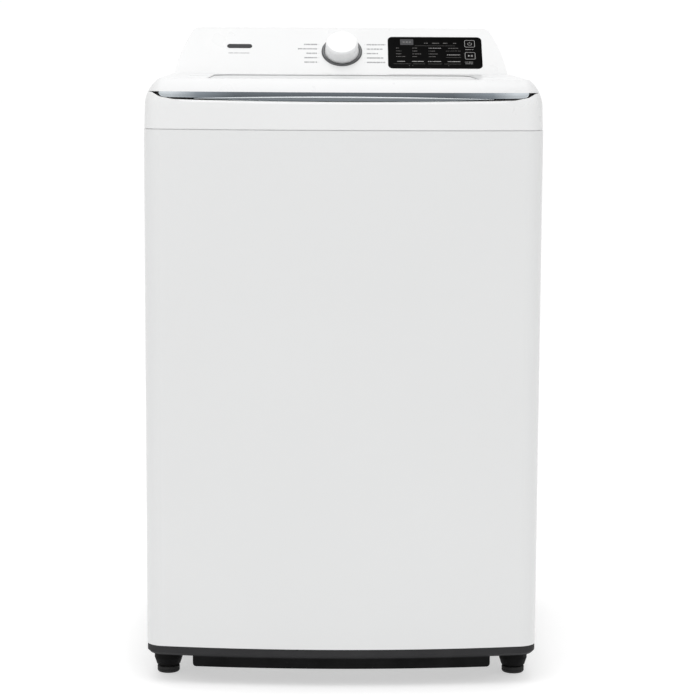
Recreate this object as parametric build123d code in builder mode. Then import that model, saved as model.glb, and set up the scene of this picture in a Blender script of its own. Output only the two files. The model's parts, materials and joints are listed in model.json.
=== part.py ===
from build123d import *

import os
from math import cos, radians, sin, sqrt

# A top load washing machine with a wash plate, a full-width lid and a sloping console.
# Frame: +Z up, the front faces -Y, origin on the floor at the centre of the footprint.
# All lengths are in millimetres.

# ---- Driving dimensions: the whole machine
WIDTH = 686.0
DEPTH = 721.0
HEIGHT = 1144.0
HALF_WIDTH = WIDTH / 2
FRONT_Y = -DEPTH / 2
BOW_RADIUS = 2000.0  # the front is bowed in plan
CORNER_RADIUS = 34.0  # front corners in plan
BACK_Y = 344.0  # outer face of the cabinet's rear flanges
SHEET = 1.0  # cabinet sheet steel
WALL = 3.0  # moulded plastic wall

# ---- Heights
SKIRT_Z = 33.0
BASE_LIP_Z = 52.0
BASE_BEVEL_Z = 57.0
CABINET_Z = 69.0
CABINET_TOP = 972.0
COVER_Z = 973.5
SHOULDER_Z = 1010.0
DECK_Z = 1018.0
RIM_Z = 1031.0
FRONT_RIM_Z = 1035.3  # the rim rises in front, and stays low beside the hinge
LID_Z = 1036.5
SEAT_Z = 1047.0  # the console stands on the rear of the top cover
LID_TOP = 1058.0
SHOULDER_RADIUS = 60.0
COVER_INSET = 0.8
SHOULDER_DRAFT = 1.0

# ---- Lid
LID_BACK_Y = 140.0
LINER_Z = 1030.0
GRIP_CUT_Z = 1020.5  # lowest point of the finger cut in the front rim
FRONT_ROUND = 5.0
RIM_BACK_Y = 100.0
COLLAR_Z = 952.0
STRIKER_SLOT = ((262.0, 290.0), (-166.0, -134.0))
LOCK_BOLT = ((288.4, 298.6), (-151.0, -149.0), (1003.2, 1008.8))
RIM_WALL = 4.0
HINGE_Y = 133.0
HINGE_Z = 1040.0
HINGE_PIN_R = 4.0
HINGE_BARREL_R = 8.0
HINGE_X = 281.0
GLASS = (476.0, 340.0, 4.0)
GLASS_Y = -122.0
GLASS_CORNER = 44.0
GLASS_TOP = LID_TOP - 1.2
GLASS_LEDGE = 12.0  # how far the pane laps over the lid's window

# ---- Console and its sloping fascia
SEAT_FRONT_Y = 156.0
CONSOLE_FRONT_Y = 159.0
FASCIA_FOOT = (165.0, 1054.0)  # y and z of the fascia's lower edge
FASCIA_ANGLE = 44.5  # from the horizontal
KNOB_X = 1.0
KNOB_UP = 64.0  # along the slope from the fascia's lower edge
KNOB_R = 32.5
RING_R = 39.0
DISPLAY_X = 180.5
DISPLAY_UP = 62.0
DISPLAY = (181.0, 84.5, 3.0)
KEY = (21.0, 20.0)
KEY_X = DISPLAY_X + 67.5
POWER_UP = DISPLAY_UP + 24.0
START_UP = DISPLAY_UP - 8.5

# ---- Tub, basket and drive, all on one vertical axis
AXIS_Y = -35.0
TUB_R = 288.0
TUB_Z = 245.0
TUB_TOP = 880.0
SUMP_Z = 205.0
BASKET_R = 266.0
BASKET_Z = 262.0
BASKET_TOP = 845.0
RING_TOP = 902.0
RING_INNER_R = 228.0
OPENING_R = 225.0
OPENING_BACK_Y = 75.0
SECTION_X = 205.0  # planes that part the top cover into simple sections
SECTION_FRONT_Y, SECTION_REAR_Y = -245.0, 74.0
DRAWER_X = (-180.0, -10.0)
SHAFT_R = 9.95
SPIN_TUBE_R = 18.0
RUNNING_GAP = 0.05

# ---- Suspension
ROD_X = 300.0
ROD_SPAN_Y = 230.0
ROD_R = 4.0
CUP_R = 24.0
EAR_Z = 330.0
SPRING_Z = 263.0
SPRING_TOP = 311.0
SEAT_BRACKET_Z = 922.0

# ---- Feet
FOOT_X = 309.0
FOOT_FRONT_Y = -248.0
FOOT_BACK_Y = 280.0
FOOT_R = 20.0
FOOT_TOP = 12.0
BOSS_Z = 15.0
BOSS_R = 25.0
STUD_R = 5.0

# ---- Service opening in the rear panel
ACCESS_X = (-140.0, 140.0)
ACCESS_Z = (120.0, 360.0)

# ---- Plumbing
PUMP_XY = (165.0, 165.0)
TRAY_Z = 66.0
SPIGOT_XZ = (245.0, 112.0)
SPIGOT_R = 15.0
TUBE_R = 17.0
TUBE_END_Y = 334.0
INLET_Z = 1003.0
INLET_XS = {"hot": -262.0, "cold": -212.0}
INLET_R = 13.3
GLAND_XZ = (250.0, 1003.0)

FOOT_PLACES = {
    "front_left": (-FOOT_X, FOOT_FRONT_Y),
    "front_right": (FOOT_X, FOOT_FRONT_Y),
    "rear_left": (-FOOT_X, FOOT_BACK_Y),
    "rear_right": (FOOT_X, FOOT_BACK_Y),
}
ROD_PLACES = [
    (side * ROD_X, AXIS_Y + end * ROD_SPAN_Y) for side in (-1, 1) for end in (-1, 1)
]
SLOPE_UP = Vector(0, cos(radians(FASCIA_ANGLE)), sin(radians(FASCIA_ANGLE)))
FASCIA_NORMAL = Vector(0, -sin(radians(FASCIA_ANGLE)), cos(radians(FASCIA_ANGLE)))


# ---------------------------------------------------------------- shared outlines
def outline(inset, back_y):
    """The machine's plan: bowed front, round front corners, straight sides, square back."""
    half = HALF_WIDTH - inset
    front = FRONT_Y + inset
    bow = BOW_RADIUS - inset
    side_front = front + bow - sqrt(bow**2 - half**2)
    with BuildSketch() as plan:
        with BuildLine():
            ThreePointArc((-half, side_front), (0, front), (half, side_front))
            Polyline((half, side_front), (half, back_y), (-half, back_y), (-half, side_front))
        make_face()
        fillet(plan.vertices().sort_by(Axis.Y)[:2], CORNER_RADIUS - inset)
    return plan.sketch


def shoulder_inset(z):
    """How far the top cover and the lid stand inside the cabinet's plan at a height."""
    draft = COVER_INSET + SHOULDER_DRAFT * min(1, (z - COVER_Z) / (SHOULDER_Z - COVER_Z))
    if z <= SHOULDER_Z:
        return draft
    return draft + SHOULDER_RADIUS - sqrt(SHOULDER_RADIUS**2 - (z - SHOULDER_Z) ** 2)


def shoulder_block(low, high, wall, back_y):
    """A solid with the machine's rounded shoulder for its sides, standing inside by wall."""
    cuts = sorted({low, high} | ({SHOULDER_Z} if low < SHOULDER_Z < high else set()))
    with BuildPart() as block:
        for bottom, top in zip(cuts, cuts[1:]):
            steps = 4 if bottom >= SHOULDER_Z else 1
            for step in range(steps + 1):
                z = bottom + (top - bottom) * step / steps
                with BuildSketch(Plane.XY.offset(z)):
                    add(outline(shoulder_inset(z) + wall, back_y))
            loft()
    return block.part


def prism(sketch, low, high):
    """A sketch drawn on the XY plane, extruded between two heights."""
    with BuildPart() as block:
        with BuildSketch(Plane.XY.offset(low)):
            add(sketch)
        extrude(amount=high - low)
    return block.part


def clipped(solid, x=(-400, 400), y=(-400, 400), z=(0, 1200)):
    """The share of a solid that lies within a range of x, y and z."""
    with BuildPart() as share:
        add(solid)
        add(cuboid(x, y, z), mode=Mode.INTERSECT)
    return share.part


def cuboid(x, y, z):
    """A box given by its lowest and highest x, y and z."""
    with BuildPart() as block:
        with Locations(((x[0] + x[1]) / 2, (y[0] + y[1]) / 2, (z[0] + z[1]) / 2)):
            Box(x[1] - x[0], y[1] - y[0], z[1] - z[0])
    return block.part


def turned(points, centre=(0, AXIS_Y)):
    """A solid of revolution about a vertical axis, from (radius, z) points."""
    plane = Plane(origin=(*centre, 0), x_dir=(1, 0, 0), z_dir=(0, -1, 0))
    with BuildPart() as part:
        with BuildSketch(plane):
            with BuildLine():
                Polyline(*points, close=True)
            make_face()
        revolve(axis=Axis((*centre, 0), (0, 0, 1)))
    return part.part


def rectangle(inner, outer, low, high):
    """The (radius, z) points of a plain ring or disc."""
    return [(inner, low), (outer, low), (outer, high), (inner, high)]


def ring(inner, outer, low, high, centre=(0, AXIS_Y)):
    """A plain vertical ring."""
    return turned(rectangle(inner, outer, low, high), centre)


def fascia_plane(x, up, lift=0.0):
    """A plane on the fascia: x across, up along the slope, lift above its surface."""
    foot = Vector(0, *FASCIA_FOOT)
    origin = foot + SLOPE_UP * up + FASCIA_NORMAL * lift + Vector(x, 0, 0)
    return Plane(origin=origin, x_dir=(1, 0, 0), z_dir=FASCIA_NORMAL)


# ---------------------------------------------------------------- base and feet
def make_skirt():
    """Front skirt under the base's lip, with round lower corners."""
    width, top, corner = 522.0, CABINET_Z - 4, 6.0
    inset, wall = 6.5, 4.0
    with BuildPart() as skirt:
        with BuildSketch(Plane.XY.offset(SKIRT_Z)):
            add(outline(inset, BACK_Y))
            add(outline(inset + wall, BACK_Y + 1), mode=Mode.SUBTRACT)
        extrude(amount=top - SKIRT_Z)
        with BuildSketch(Plane.XZ.offset(300)):
            with Locations((0, SKIRT_Z + 50)):
                RectangleRounded(width, 100, corner)
        extrude(amount=80, mode=Mode.INTERSECT)
    return skirt.part


def make_base_frame():
    """Moulded base: a lipped ring with four foot bosses, a front skirt and a pump tray."""
    inner = (540.0, 556.0)
    inner_y = -8.0
    rib = 4.0
    with BuildSketch() as middle:
        with Locations((0, inner_y)):
            RectangleRounded(*inner, 40)
    with BuildSketch() as channel:
        add(outline(14, BACK_Y - 14))
        with Locations((0, inner_y)):
            RectangleRounded(inner[0] + 2 * rib, inner[1] + 2 * rib, 40 + rib, mode=Mode.SUBTRACT)
    boss = [
        (0, BOSS_Z), (FOOT_R + 1, BOSS_Z), (BOSS_R, BOSS_Z + 12), (BOSS_R, CABINET_Z - 4),
        (0, CABINET_Z - 4),
    ]
    tray_x, tray_y = PUMP_XY
    with BuildPart() as base_frame:
        with BuildSketch(Plane.XY.offset(BASE_BEVEL_Z)):
            add(outline(0.8, BACK_Y - 1))
        extrude(amount=CABINET_Z - BASE_BEVEL_Z)
        with BuildSketch(Plane.XY.offset(BASE_LIP_Z)):
            add(outline(5.8, BACK_Y - 6))
        with BuildSketch(Plane.XY.offset(BASE_BEVEL_Z)):
            add(outline(0.8, BACK_Y - 1))
        loft()
        add(prism(channel.sketch, BASE_LIP_Z - 1, CABINET_Z - 5), mode=Mode.SUBTRACT)
        add(prism(middle.sketch, BASE_LIP_Z - 1, CABINET_Z + 1), mode=Mode.SUBTRACT)
        for place in FOOT_PLACES.values():
            add(turned(boss, place))
        add(cuboid((tray_x - 60, inner[0] / 2 + 2), (tray_y - 50, inner[1] / 2 - 3), (TRAY_Z - 6, TRAY_Z)))
        add(make_skirt())
        for place in FOOT_PLACES.values():
            add(turned(rectangle(0, STUD_R + 0.2, 0, CABINET_Z - 1.5), place), mode=Mode.SUBTRACT)
    return base_frame.part


def make_foot(place):
    """A levelling foot: a rubber-shod pad, its lock nut and its stud."""
    stud_top = CABINET_Z - 4
    with BuildPart() as foot:
        add(ring(0, FOOT_R, 0, FOOT_TOP, place))
        fillet(foot.edges().group_by(Axis.Z)[0], 4)
        fillet(foot.edges().group_by(Axis.Z)[-1], 1.5)
        with BuildSketch(Plane.XY.offset(FOOT_TOP)):
            with Locations(place):
                RegularPolygon(STUD_R + 6, 6)
        extrude(amount=BOSS_Z - 0.4 - FOOT_TOP)
        add(ring(0, STUD_R, FOOT_TOP, stud_top, place))
    return foot.part


# ---------------------------------------------------------------- cabinet
def make_cabinet_wrap():
    """Front and sides in one bent sheet, with returns at the back, top and bottom."""
    flange = 18.0
    full = (CABINET_Z - 1, CABINET_TOP + 1)
    doorway = (-HALF_WIDTH + flange, HALF_WIDTH - flange)
    with BuildPart() as wrap:
        add(prism(outline(0, BACK_Y), CABINET_Z, CABINET_TOP))
        inside = prism(outline(SHEET, BACK_Y - SHEET), CABINET_Z + SHEET, CABINET_TOP - SHEET)
        add(inside, mode=Mode.SUBTRACT)
        add(prism(outline(flange, BACK_Y - flange), *full), mode=Mode.SUBTRACT)
        add(cuboid(doorway, (BACK_Y - flange - 1, BACK_Y + 1), full), mode=Mode.SUBTRACT)
    return wrap.part


def make_rear_panel():
    """Flat steel back with pressed ribs, an access opening and a drain hole."""
    half = HALF_WIDTH - 7
    with BuildPart() as panel:
        add(cuboid((-half, half), (BACK_Y, BACK_Y + SHEET), (CABINET_Z + 3, CABINET_TOP - 3)))
        for rib in range(5):
            with BuildSketch(Plane.XZ.offset(-BACK_Y - SHEET)):
                with Locations((0, 430 + 100 * rib)):
                    SlotOverall(520, 26)
            extrude(amount=-3.0)
        add(cuboid(ACCESS_X, (BACK_Y - 1, BACK_Y + 5), ACCESS_Z), mode=Mode.SUBTRACT)
        with BuildSketch(Plane.XZ.offset(-BACK_Y + 1)):
            with Locations(SPIGOT_XZ):
                Circle(17.5)
        extrude(amount=-6, mode=Mode.SUBTRACT)
    return panel.part


def make_rear_access_cover():
    """Plate over the access opening, with a pressed centre."""
    face = BACK_Y + SHEET
    lap = 14.0
    with BuildPart() as cover:
        x = (ACCESS_X[0] - lap, ACCESS_X[1] + lap)
        add(cuboid(x, (face, face + SHEET), (ACCESS_Z[0] - lap, ACCESS_Z[1] + lap)))
        with BuildSketch(Plane.XZ.offset(-face - SHEET)):
            with Locations((0, 240)):
                RectangleRounded(230, 190, 12)
        extrude(amount=-2.5)
    return cover.part


def pan_head(x, face_y, z):
    """One pan-head screw driven forwards into a face at face_y."""
    with BuildPart() as screw:
        with BuildSketch(Plane.XZ.offset(-face_y)):
            with Locations((x, z)):
                Circle(4.5)
        extrude(amount=-2.4)
        fillet(screw.edges().sort_by(Axis.Y)[-1], 1.2)
    return screw.part


def make_back_screws():
    """Screws that hold the rear panel, its access cover and the console's back."""
    steel = BACK_Y + SHEET
    places = [(side * 326, steel, z) for side in (-1, 1) for z in (100, 310, 520, 730, 940)]
    places += [(x, steel + SHEET, z) for x in (-147, 147) for z in (114, 366)]
    places += [(x, BACK_Y + 2, 1122) for x in (-230, 0, 230)]
    with BuildPart() as screws:
        for place in places:
            add(pan_head(*place))
    return screws.part


# ---------------------------------------------------------------- suspension
def make_suspension_brackets():
    """Corner seats under the cabinet's top flange that the rods hang from."""
    half, plate = 24.0, 4.0
    wall_x = HALF_WIDTH - SHEET
    low, high = SEAT_BRACKET_Z - plate, CABINET_TOP - SHEET
    with BuildPart() as brackets:
        for x, y in ROD_PLACES:
            side = 1 if x > 0 else -1
            shelf = sorted((x - side * 22, side * wall_x))
            upright = sorted((side * (wall_x - 3), side * wall_x))
            add(cuboid(shelf, (y - half, y + half), (low, SEAT_BRACKET_Z)))
            add(cuboid(upright, (y - half, y + half), (low, high)))
            hole = ring(0, ROD_R + 2, low - 1, SEAT_BRACKET_Z + 1, (x, y))
            add(hole, mode=Mode.SUBTRACT)
    return brackets.part


def make_suspension_rods():
    """Four hanging rods, each with a ball seat at its head and a spring seat at its foot."""
    foot, head = SPRING_Z - 13, SEAT_BRACKET_Z + 18
    profile = [
        (0, foot), (CUP_R, foot), (CUP_R, SPRING_Z), (ROD_R, SPRING_Z),
        (ROD_R, SEAT_BRACKET_Z - 6), (ROD_R + 1.5, SEAT_BRACKET_Z), (12, SEAT_BRACKET_Z),
        (12, SEAT_BRACKET_Z + 8), (8, head), (0, head),
    ]
    with BuildPart() as rods:
        for place in ROD_PLACES:
            add(turned(profile, place))
    return rods.part


def make_suspension_springs():
    """Four coil springs between the rods' seats and the tub's cups."""
    wire, coil_r, gap, turns = 2.2, 17.0, 0.3, 5
    height = SPRING_TOP - SPRING_Z - 2 * (wire + gap)
    low = SPRING_Z + wire + gap
    with BuildPart() as springs:
        for x, y in ROD_PLACES:
            with BuildLine() as centre_line:
                Helix(pitch=height / turns, height=height, radius=coil_r, center=(x, y, low))
            start = centre_line.line @ 0
            with BuildSketch(Plane(origin=start, z_dir=centre_line.line % 0)):
                Circle(wire)
            sweep(path=centre_line.line, is_frenet=True)
    return springs.part


def make_suspension_cups():
    """Damper cups that carry the tub's ears on the springs."""
    with BuildPart() as cups:
        for place in ROD_PLACES:
            add(ring(ROD_R + 0.4, CUP_R, SPRING_TOP, EAR_Z, place))
    return cups.part


# ---------------------------------------------------------------- tub
def make_outer_tub():
    """Plastic tub with a ribbed wall, a top flange, four ears and a sump outlet."""
    wall, floor = TUB_R - WALL, TUB_Z + 5
    hub_r = 40.5
    reach = sqrt(ROD_X**2 + ROD_SPAN_Y**2)
    ear = (TUB_R - 2, reach + CUP_R + 2)
    with BuildPart() as tub:
        add(turned([
            (hub_r, TUB_Z), (TUB_R, TUB_Z), (TUB_R, TUB_TOP - 6), (TUB_R + 9, TUB_TOP - 6),
            (TUB_R + 9, TUB_TOP), (wall, TUB_TOP), (wall, floor), (hub_r, floor),
        ]))
        for rib in range(5):
            z = 300 + 120 * rib
            add(ring(TUB_R - 1, TUB_R + 5, z, z + 4))
        for x, y in ROD_PLACES:
            plane = Plane(origin=(0, AXIS_Y, EAR_Z), x_dir=(x, y - AXIS_Y, 0), z_dir=(0, 0, 1))
            with BuildSketch(plane):
                with Locations((sum(ear) / 2, 0)):
                    Rectangle(ear[1] - ear[0], 2 * CUP_R + 4)
            extrude(amount=12)
        for place in ROD_PLACES:
            add(ring(0, ROD_R + 3, EAR_Z - 1, EAR_Z + 13, place), mode=Mode.SUBTRACT)
        add(ring(0, 24, SUMP_Z, TUB_Z + 1, PUMP_XY))
        add(ring(0, 20, SUMP_Z - 1, floor + 1, PUMP_XY), mode=Mode.SUBTRACT)
    return tub.part


def make_tub_cover():
    """Ring on the tub's flange that keeps water off the gap round the basket."""
    low, high = TUB_TOP, RING_TOP + 10
    rim = TUB_R + 9
    return turned([
        (rim - 3, low), (rim, low), (rim, high - 6), (rim - 8, high), (RING_INNER_R + 4, high),
        (RING_INNER_R + 4, high - 8), (RING_INNER_R + 7, high - 8), (RING_INNER_R + 7, high - 3),
        (rim - 9, high - 3), (rim - 3, high - 8),
    ])


def make_bearing_housing():
    """Cast hub under the tub that carries both bearings and the stator."""
    with BuildPart() as housing:
        add(turned([
            (26, 196), (40, 196), (40, 226), (150, 232), (150, TUB_Z), (40.4, TUB_Z), (40.4, 262),
            (26, 262),
        ]))
        with Locations((0, AXIS_Y, TUB_Z - 24)):
            with PolarLocations(95, 6):
                Box(90, 8, 24, align=(Align.CENTER, Align.CENTER, Align.MIN))
    return housing.part


def make_bearings():
    """Two ball bearings and the water seal, shown as closed rings."""
    bore = SPIN_TUBE_R + RUNNING_GAP
    with BuildPart() as bearings:
        for low, high in ((198, 214), (232, 248), (251, 260)):
            add(ring(bore, 26, low, high))
    return bearings.part


def make_stator():
    """Wound stator with 36 poles, screwed under the bearing housing."""
    with BuildPart() as stator:
        add(ring(30, 100, 166, 192))
        with Locations((0, AXIS_Y, 166)):
            with PolarLocations(110, 36):
                Box(38, 9, 26, align=(Align.CENTER, Align.CENTER, Align.MIN))
        add(ring(30, 40, 191, 196))
    return stator.part


# ---------------------------------------------------------------- basket
def make_wash_basket():
    """Perforated stainless drum, open at the top."""
    rows, columns = 9, 24
    pitch_z = 58.0
    with BuildPart() as basket:
        add(ring(BASKET_R - SHEET, BASKET_R, BASKET_Z, BASKET_TOP))
        for row in range(rows):
            z = 325 + row * pitch_z
            turn = (row % 2) * 180 / columns
            with Locations((0, AXIS_Y, z)):
                with PolarLocations(BASKET_R, columns, start_angle=turn):
                    Cylinder(2.5, 12, rotation=(0, 90, 0), mode=Mode.SUBTRACT)
    return basket.part


def make_basket_base():
    """Basket floor with its drive hub."""
    edge = BASKET_R - SHEET
    return turned([
        (SPIN_TUBE_R, 264), (34, 264), (60, 268), (edge, 268), (edge, 292), (edge - 4, 292),
        (edge - 4, 273), (60, 273), (34, 282), (SPIN_TUBE_R, 282),
    ])


def make_balance_ring():
    """Hollow ring at the basket's mouth, filled with brine."""
    outer = BASKET_R + 1.5
    with BuildPart() as balance:
        add(turned([
            (RING_INNER_R + 6, BASKET_TOP - 6), (BASKET_R - SHEET, BASKET_TOP - 6),
            (BASKET_R - SHEET, BASKET_TOP), (outer, BASKET_TOP), (outer, RING_TOP - 4),
            (outer - 6, RING_TOP), (RING_INNER_R + 8, RING_TOP), (RING_INNER_R, RING_TOP - 10),
            (RING_INNER_R, BASKET_TOP + 6),
        ]))
    return balance.part


def make_lint_filters():
    """Two lint traps clipped to the basket wall."""
    with BuildPart() as filters:
        with Locations((0, AXIS_Y, 420)):
            with PolarLocations(BASKET_R - SHEET - 12, 2):
                Box(18, 110, 260, align=(Align.CENTER, Align.CENTER, Align.MIN))
        add(ring(BASKET_R - SHEET, BASKET_R + 30, 400, 700), mode=Mode.SUBTRACT)
        fillet(filters.edges().filter_by(Axis.Z).group_by(SortBy.LENGTH)[-1], 4)
    return filters.part


def make_spin_tube():
    """Hollow shaft that turns the basket."""
    return ring(SHAFT_R + RUNNING_GAP, SPIN_TUBE_R, 196, 283)


# ---------------------------------------------------------------- drive
def make_drive_shaft():
    """Inner shaft from the rotor to the impeller."""
    return turned([(0, 146), (SHAFT_R, 146), (SHAFT_R, 318), (0, 318)])


def make_pulsator():
    """Wash plate: a shallow dish with a cone in the middle and six swept vanes."""
    edge = 238.0
    with BuildSketch() as vane:
        with BuildLine():
            ThreePointArc((46, -4), (124, 20), (204, 6))
            Line((204, 6), (204, 30))
            ThreePointArc((204, 30), (122, 46), (44, 20))
            Line((44, 20), (46, -4))
        make_face()
        fillet(vane.vertices(), 8)
    with BuildPart() as pulsator:
        add(turned([
            (SHAFT_R, 286), (40, 286), (60, 284), (edge - 30, 290), (edge, 300), (edge, 308),
            (edge - 26, 302), (120, 296), (70, 306), (44, 330), (26, 336), (SHAFT_R, 336),
        ]))
        with BuildSketch(Plane.XY.offset(292)):
            with Locations((0, AXIS_Y)):
                with PolarLocations(0, 6):
                    add(vane.sketch)
        extrude(amount=32, taper=10)
    return pulsator.part


def make_pulsator_cap():
    """Snap cap over the impeller bolt."""
    with BuildPart() as cap:
        add(turned([(0, 336), (24, 336), (24, 340), (16, 346), (0, 348)]))
    return cap.part


def make_rotor():
    """Outer rotor cup with its magnets, on the inner shaft."""
    return turned([
        (SHAFT_R, 150), (128, 150), (137, 156), (137, 194), (133, 194), (133, 158), (126, 154.5),
        (26, 154.5), (26, 162), (SHAFT_R, 162),
    ])


def make_rotor_nut():
    """Nut that holds the rotor on its shaft."""
    with BuildPart() as nut:
        with BuildSketch(Plane.XY.offset(138)):
            with Locations((0, AXIS_Y)):
                RegularPolygon(17, 6)
        extrude(amount=8)
        with BuildSketch(Plane.XY.offset(146)):
            with Locations((0, AXIS_Y)):
                RegularPolygon(17, 6)
                Circle(SHAFT_R, mode=Mode.SUBTRACT)
        extrude(amount=4)
    return nut.part


# ---------------------------------------------------------------- plumbing
def make_drain_pump():
    """Drain pump on its tray: hollow volute, inlet neck, outlet spout and motor can."""
    x, y = PUMP_XY
    volute = [
        (0, TRAY_Z), (46, TRAY_Z), (46, 112), (27, 112), (27, 148), (23, 148), (23, 104),
        (38, 104), (38, TRAY_Z + 6), (0, TRAY_Z + 6),
    ]
    with BuildPart() as pump:
        add(turned(volute, PUMP_XY))
        with Locations((x - 44, y, 90)):
            Cylinder(22, 60, rotation=(0, 90, 0), align=(Align.CENTER, Align.CENTER, Align.MAX))
        spout = Plane(origin=(x + 28, y, 92), x_dir=(1, 0, 0), z_dir=(0, 1, 0))
        with BuildSketch(spout.offset(38)):
            Circle(18)
        extrude(amount=22)
        with BuildSketch(spout):
            Circle(14)
        extrude(amount=61, mode=Mode.SUBTRACT)
    return pump.part


def make_pump_impeller():
    """Four-bladed impeller inside the volute."""
    x, y = PUMP_XY
    with BuildPart() as impeller:
        add(ring(0, 8, 74, 98, PUMP_XY))
        with Locations((x, y, 76)):
            with PolarLocations(16, 4):
                Box(30, 3, 20, align=(Align.CENTER, Align.CENTER, Align.MIN))
    return impeller.part


def make_sump_boot():
    """Rubber bellows from the tub's sump down to the pump."""
    low, high = 136.0, 218.0
    folds = 4
    step = (192 - 158) / folds
    outer = [(27.2, low), (30, low), (30, 154)]
    inner = [(24.2, high), (24.2, 196), (22, 192)]
    for fold in range(folds):
        z = 158 + fold * step
        outer += [(30, z), (38, z + step / 2)]
        inner += [(22, 192 - fold * step), (34, 192 - (fold + 0.5) * step)]
    outer += [(30, 192), (28, 198), (28, high)]
    inner += [(22, 158), (22, 154), (24, 150), (27.2, 150)]
    points = []
    for point in outer + inner:
        if not points or point != points[-1]:
            points.append(point)
    return turned(points, PUMP_XY)


def make_drain_tube():
    """Hose from the pump to the spigot in the rear panel."""
    x, y = PUMP_XY[0] + 28, PUMP_XY[1] + 60
    end_x, end_z = SPIGOT_XZ
    start_z, bend = 92.0, 24.0
    with BuildPart() as tube:
        with BuildLine() as path:
            FilletPolyline(
                (x, y, start_z),
                (x, y + 52, start_z),
                (end_x, TUBE_END_Y - 38, end_z),
                (end_x, TUBE_END_Y, end_z),
                radius=[bend, bend],
            )
        with BuildSketch(Plane(origin=path.line @ 0, z_dir=path.line % 0)):
            Circle(TUBE_R)
            Circle(TUBE_R - WALL, mode=Mode.SUBTRACT)
        sweep(path=path.line)
    return tube.part


def rear_disc(centre, radius, low, high):
    """A disc that faces the rear, between two depths."""
    with BuildPart() as disc:
        with BuildSketch(Plane.XZ.offset(-low)):
            with Locations(centre):
                Circle(radius)
        extrude(amount=low - high)
    return disc.part


def make_drain_spigot():
    """Flanged outlet spigot in the rear panel for the drain hose."""
    panel = BACK_Y + SHEET
    with BuildPart() as spigot:
        add(rear_disc(SPIGOT_XZ, TUBE_R, TUBE_END_Y, panel))
        add(rear_disc(SPIGOT_XZ, 24, panel, panel + 2))
        add(rear_disc(SPIGOT_XZ, SPIGOT_R, panel + 2, DEPTH / 2))
        add(rear_disc(SPIGOT_XZ, SPIGOT_R - 3, TUBE_END_Y - 4, DEPTH / 2 + 10), mode=Mode.SUBTRACT)
    return spigot.part


def make_inlet_valve(x):
    """Solenoid inlet valve: a hose thread through the back, a body and a coil."""
    back = BACK_Y - WALL
    centre = (x, INLET_Z)
    bore = 9.0
    with BuildPart() as valve:
        add(rear_disc(centre, INLET_R - 0.7, back - 14, BACK_Y))
        add(rear_disc(centre, INLET_R, BACK_Y, DEPTH / 2))
        add(cuboid((x - 18, x + 18), (back - 40, back - 6), (INLET_Z - 16, INLET_Z + 16)))
        add(ring(0, 13, INLET_Z + 15, INLET_Z + 33, (x, back - 24)))
        add(rear_disc(centre, bore, back - 19, DEPTH / 2 + 1), mode=Mode.SUBTRACT)
        add(rear_disc(centre, bore, back - 55, back - 39))
    return valve.part


def make_inlet_hoses():
    """Short hoses from the two valves to the dispenser."""
    back = BACK_Y - WALL
    with BuildPart() as hoses:
        for x, target, drop in ((INLET_XS["hot"], -150, 32), (INLET_XS["cold"], -90, 14)):
            with BuildLine() as path:
                FilletPolyline(
                    (x, back - 55, INLET_Z),
                    (x, back - 75, INLET_Z),
                    (target, back - 88, INLET_Z - drop),
                    (target, 238, INLET_Z - drop),
                    radius=[12, 12],
                )
            with BuildSketch(Plane(origin=path.line @ 0, z_dir=path.line % 0)):
                Circle(7)
                Circle(5, mode=Mode.SUBTRACT)
            sweep(path=path.line)
    return hoses.part


def make_power_cord_gland():
    """Grommet in the top cover's back for the power lead."""
    back = BACK_Y - WALL
    flange_r, neck_r, bore_r = 15.0, 11.0, 4.5
    with BuildPart() as gland:
        add(rear_disc(GLAND_XZ, flange_r, back - 4, back))
        add(rear_disc(GLAND_XZ, neck_r, back, BACK_Y))
        add(rear_disc(GLAND_XZ, flange_r, BACK_Y, BACK_Y + 4))
        add(rear_disc(GLAND_XZ, bore_r, back - 6, BACK_Y + 6), mode=Mode.SUBTRACT)
    return gland.part


# ---------------------------------------------------------------- top cover
def opening_plan(grow):
    """Loading opening: the tub's circle, cut straight at the back."""
    with BuildSketch() as plan:
        with Locations((0, AXIS_Y)):
            Circle(OPENING_R + grow)
        front = AXIS_Y - OPENING_R - grow - 10
        back = OPENING_BACK_Y + grow
        with Locations((0, (front + back) / 2)):
            Rectangle(700, back - front, mode=Mode.INTERSECT)
        fillet(plan.vertices(), 26)
    return plan.sketch


def front_rim_cut():
    """What is taken off the front rim so that fingers reach under the lid."""
    end, heel, tip = (291, 1023.6), (315, 1028.2), (330, FRONT_RIM_Z + 1)
    left = [(-x, z) for x, z in (tip, heel, end)]
    with BuildPart() as cut:
        with BuildSketch(Plane.XZ.offset(290)):
            with BuildLine():
                ThreePointArc(left[-1], (0, GRIP_CUT_Z), end)
                Polyline(end, heel, tip, *left)
            make_face()
        extrude(amount=80)
    return cut.part


def front_edge(cover):
    """The long upper edge of the top cover's front face."""
    front = cover.edges().filter_by(lambda edge: edge.center().Y < FRONT_Y + 20)
    return front.filter_by(lambda edge: edge.center().Z > SHOULDER_Z).sort_by(SortBy.LENGTH)[-1]


def hinge_tower(x):
    """An ear on the deck that holds one end of a hinge pin."""
    half, width = HINGE_BARREL_R, 12.0
    with BuildPart() as tower:
        add(cuboid((x - width / 2, x + width / 2), (HINGE_Y - half, HINGE_Y + half), (DECK_Z - 1, HINGE_Z)))
        with Locations((x, HINGE_Y, HINGE_Z)):
            Cylinder(half, width, rotation=(0, 90, 0))
            Cylinder(HINGE_PIN_R, width + 2, rotation=(0, 90, 0), mode=Mode.SUBTRACT)
    return tower.part


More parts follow.
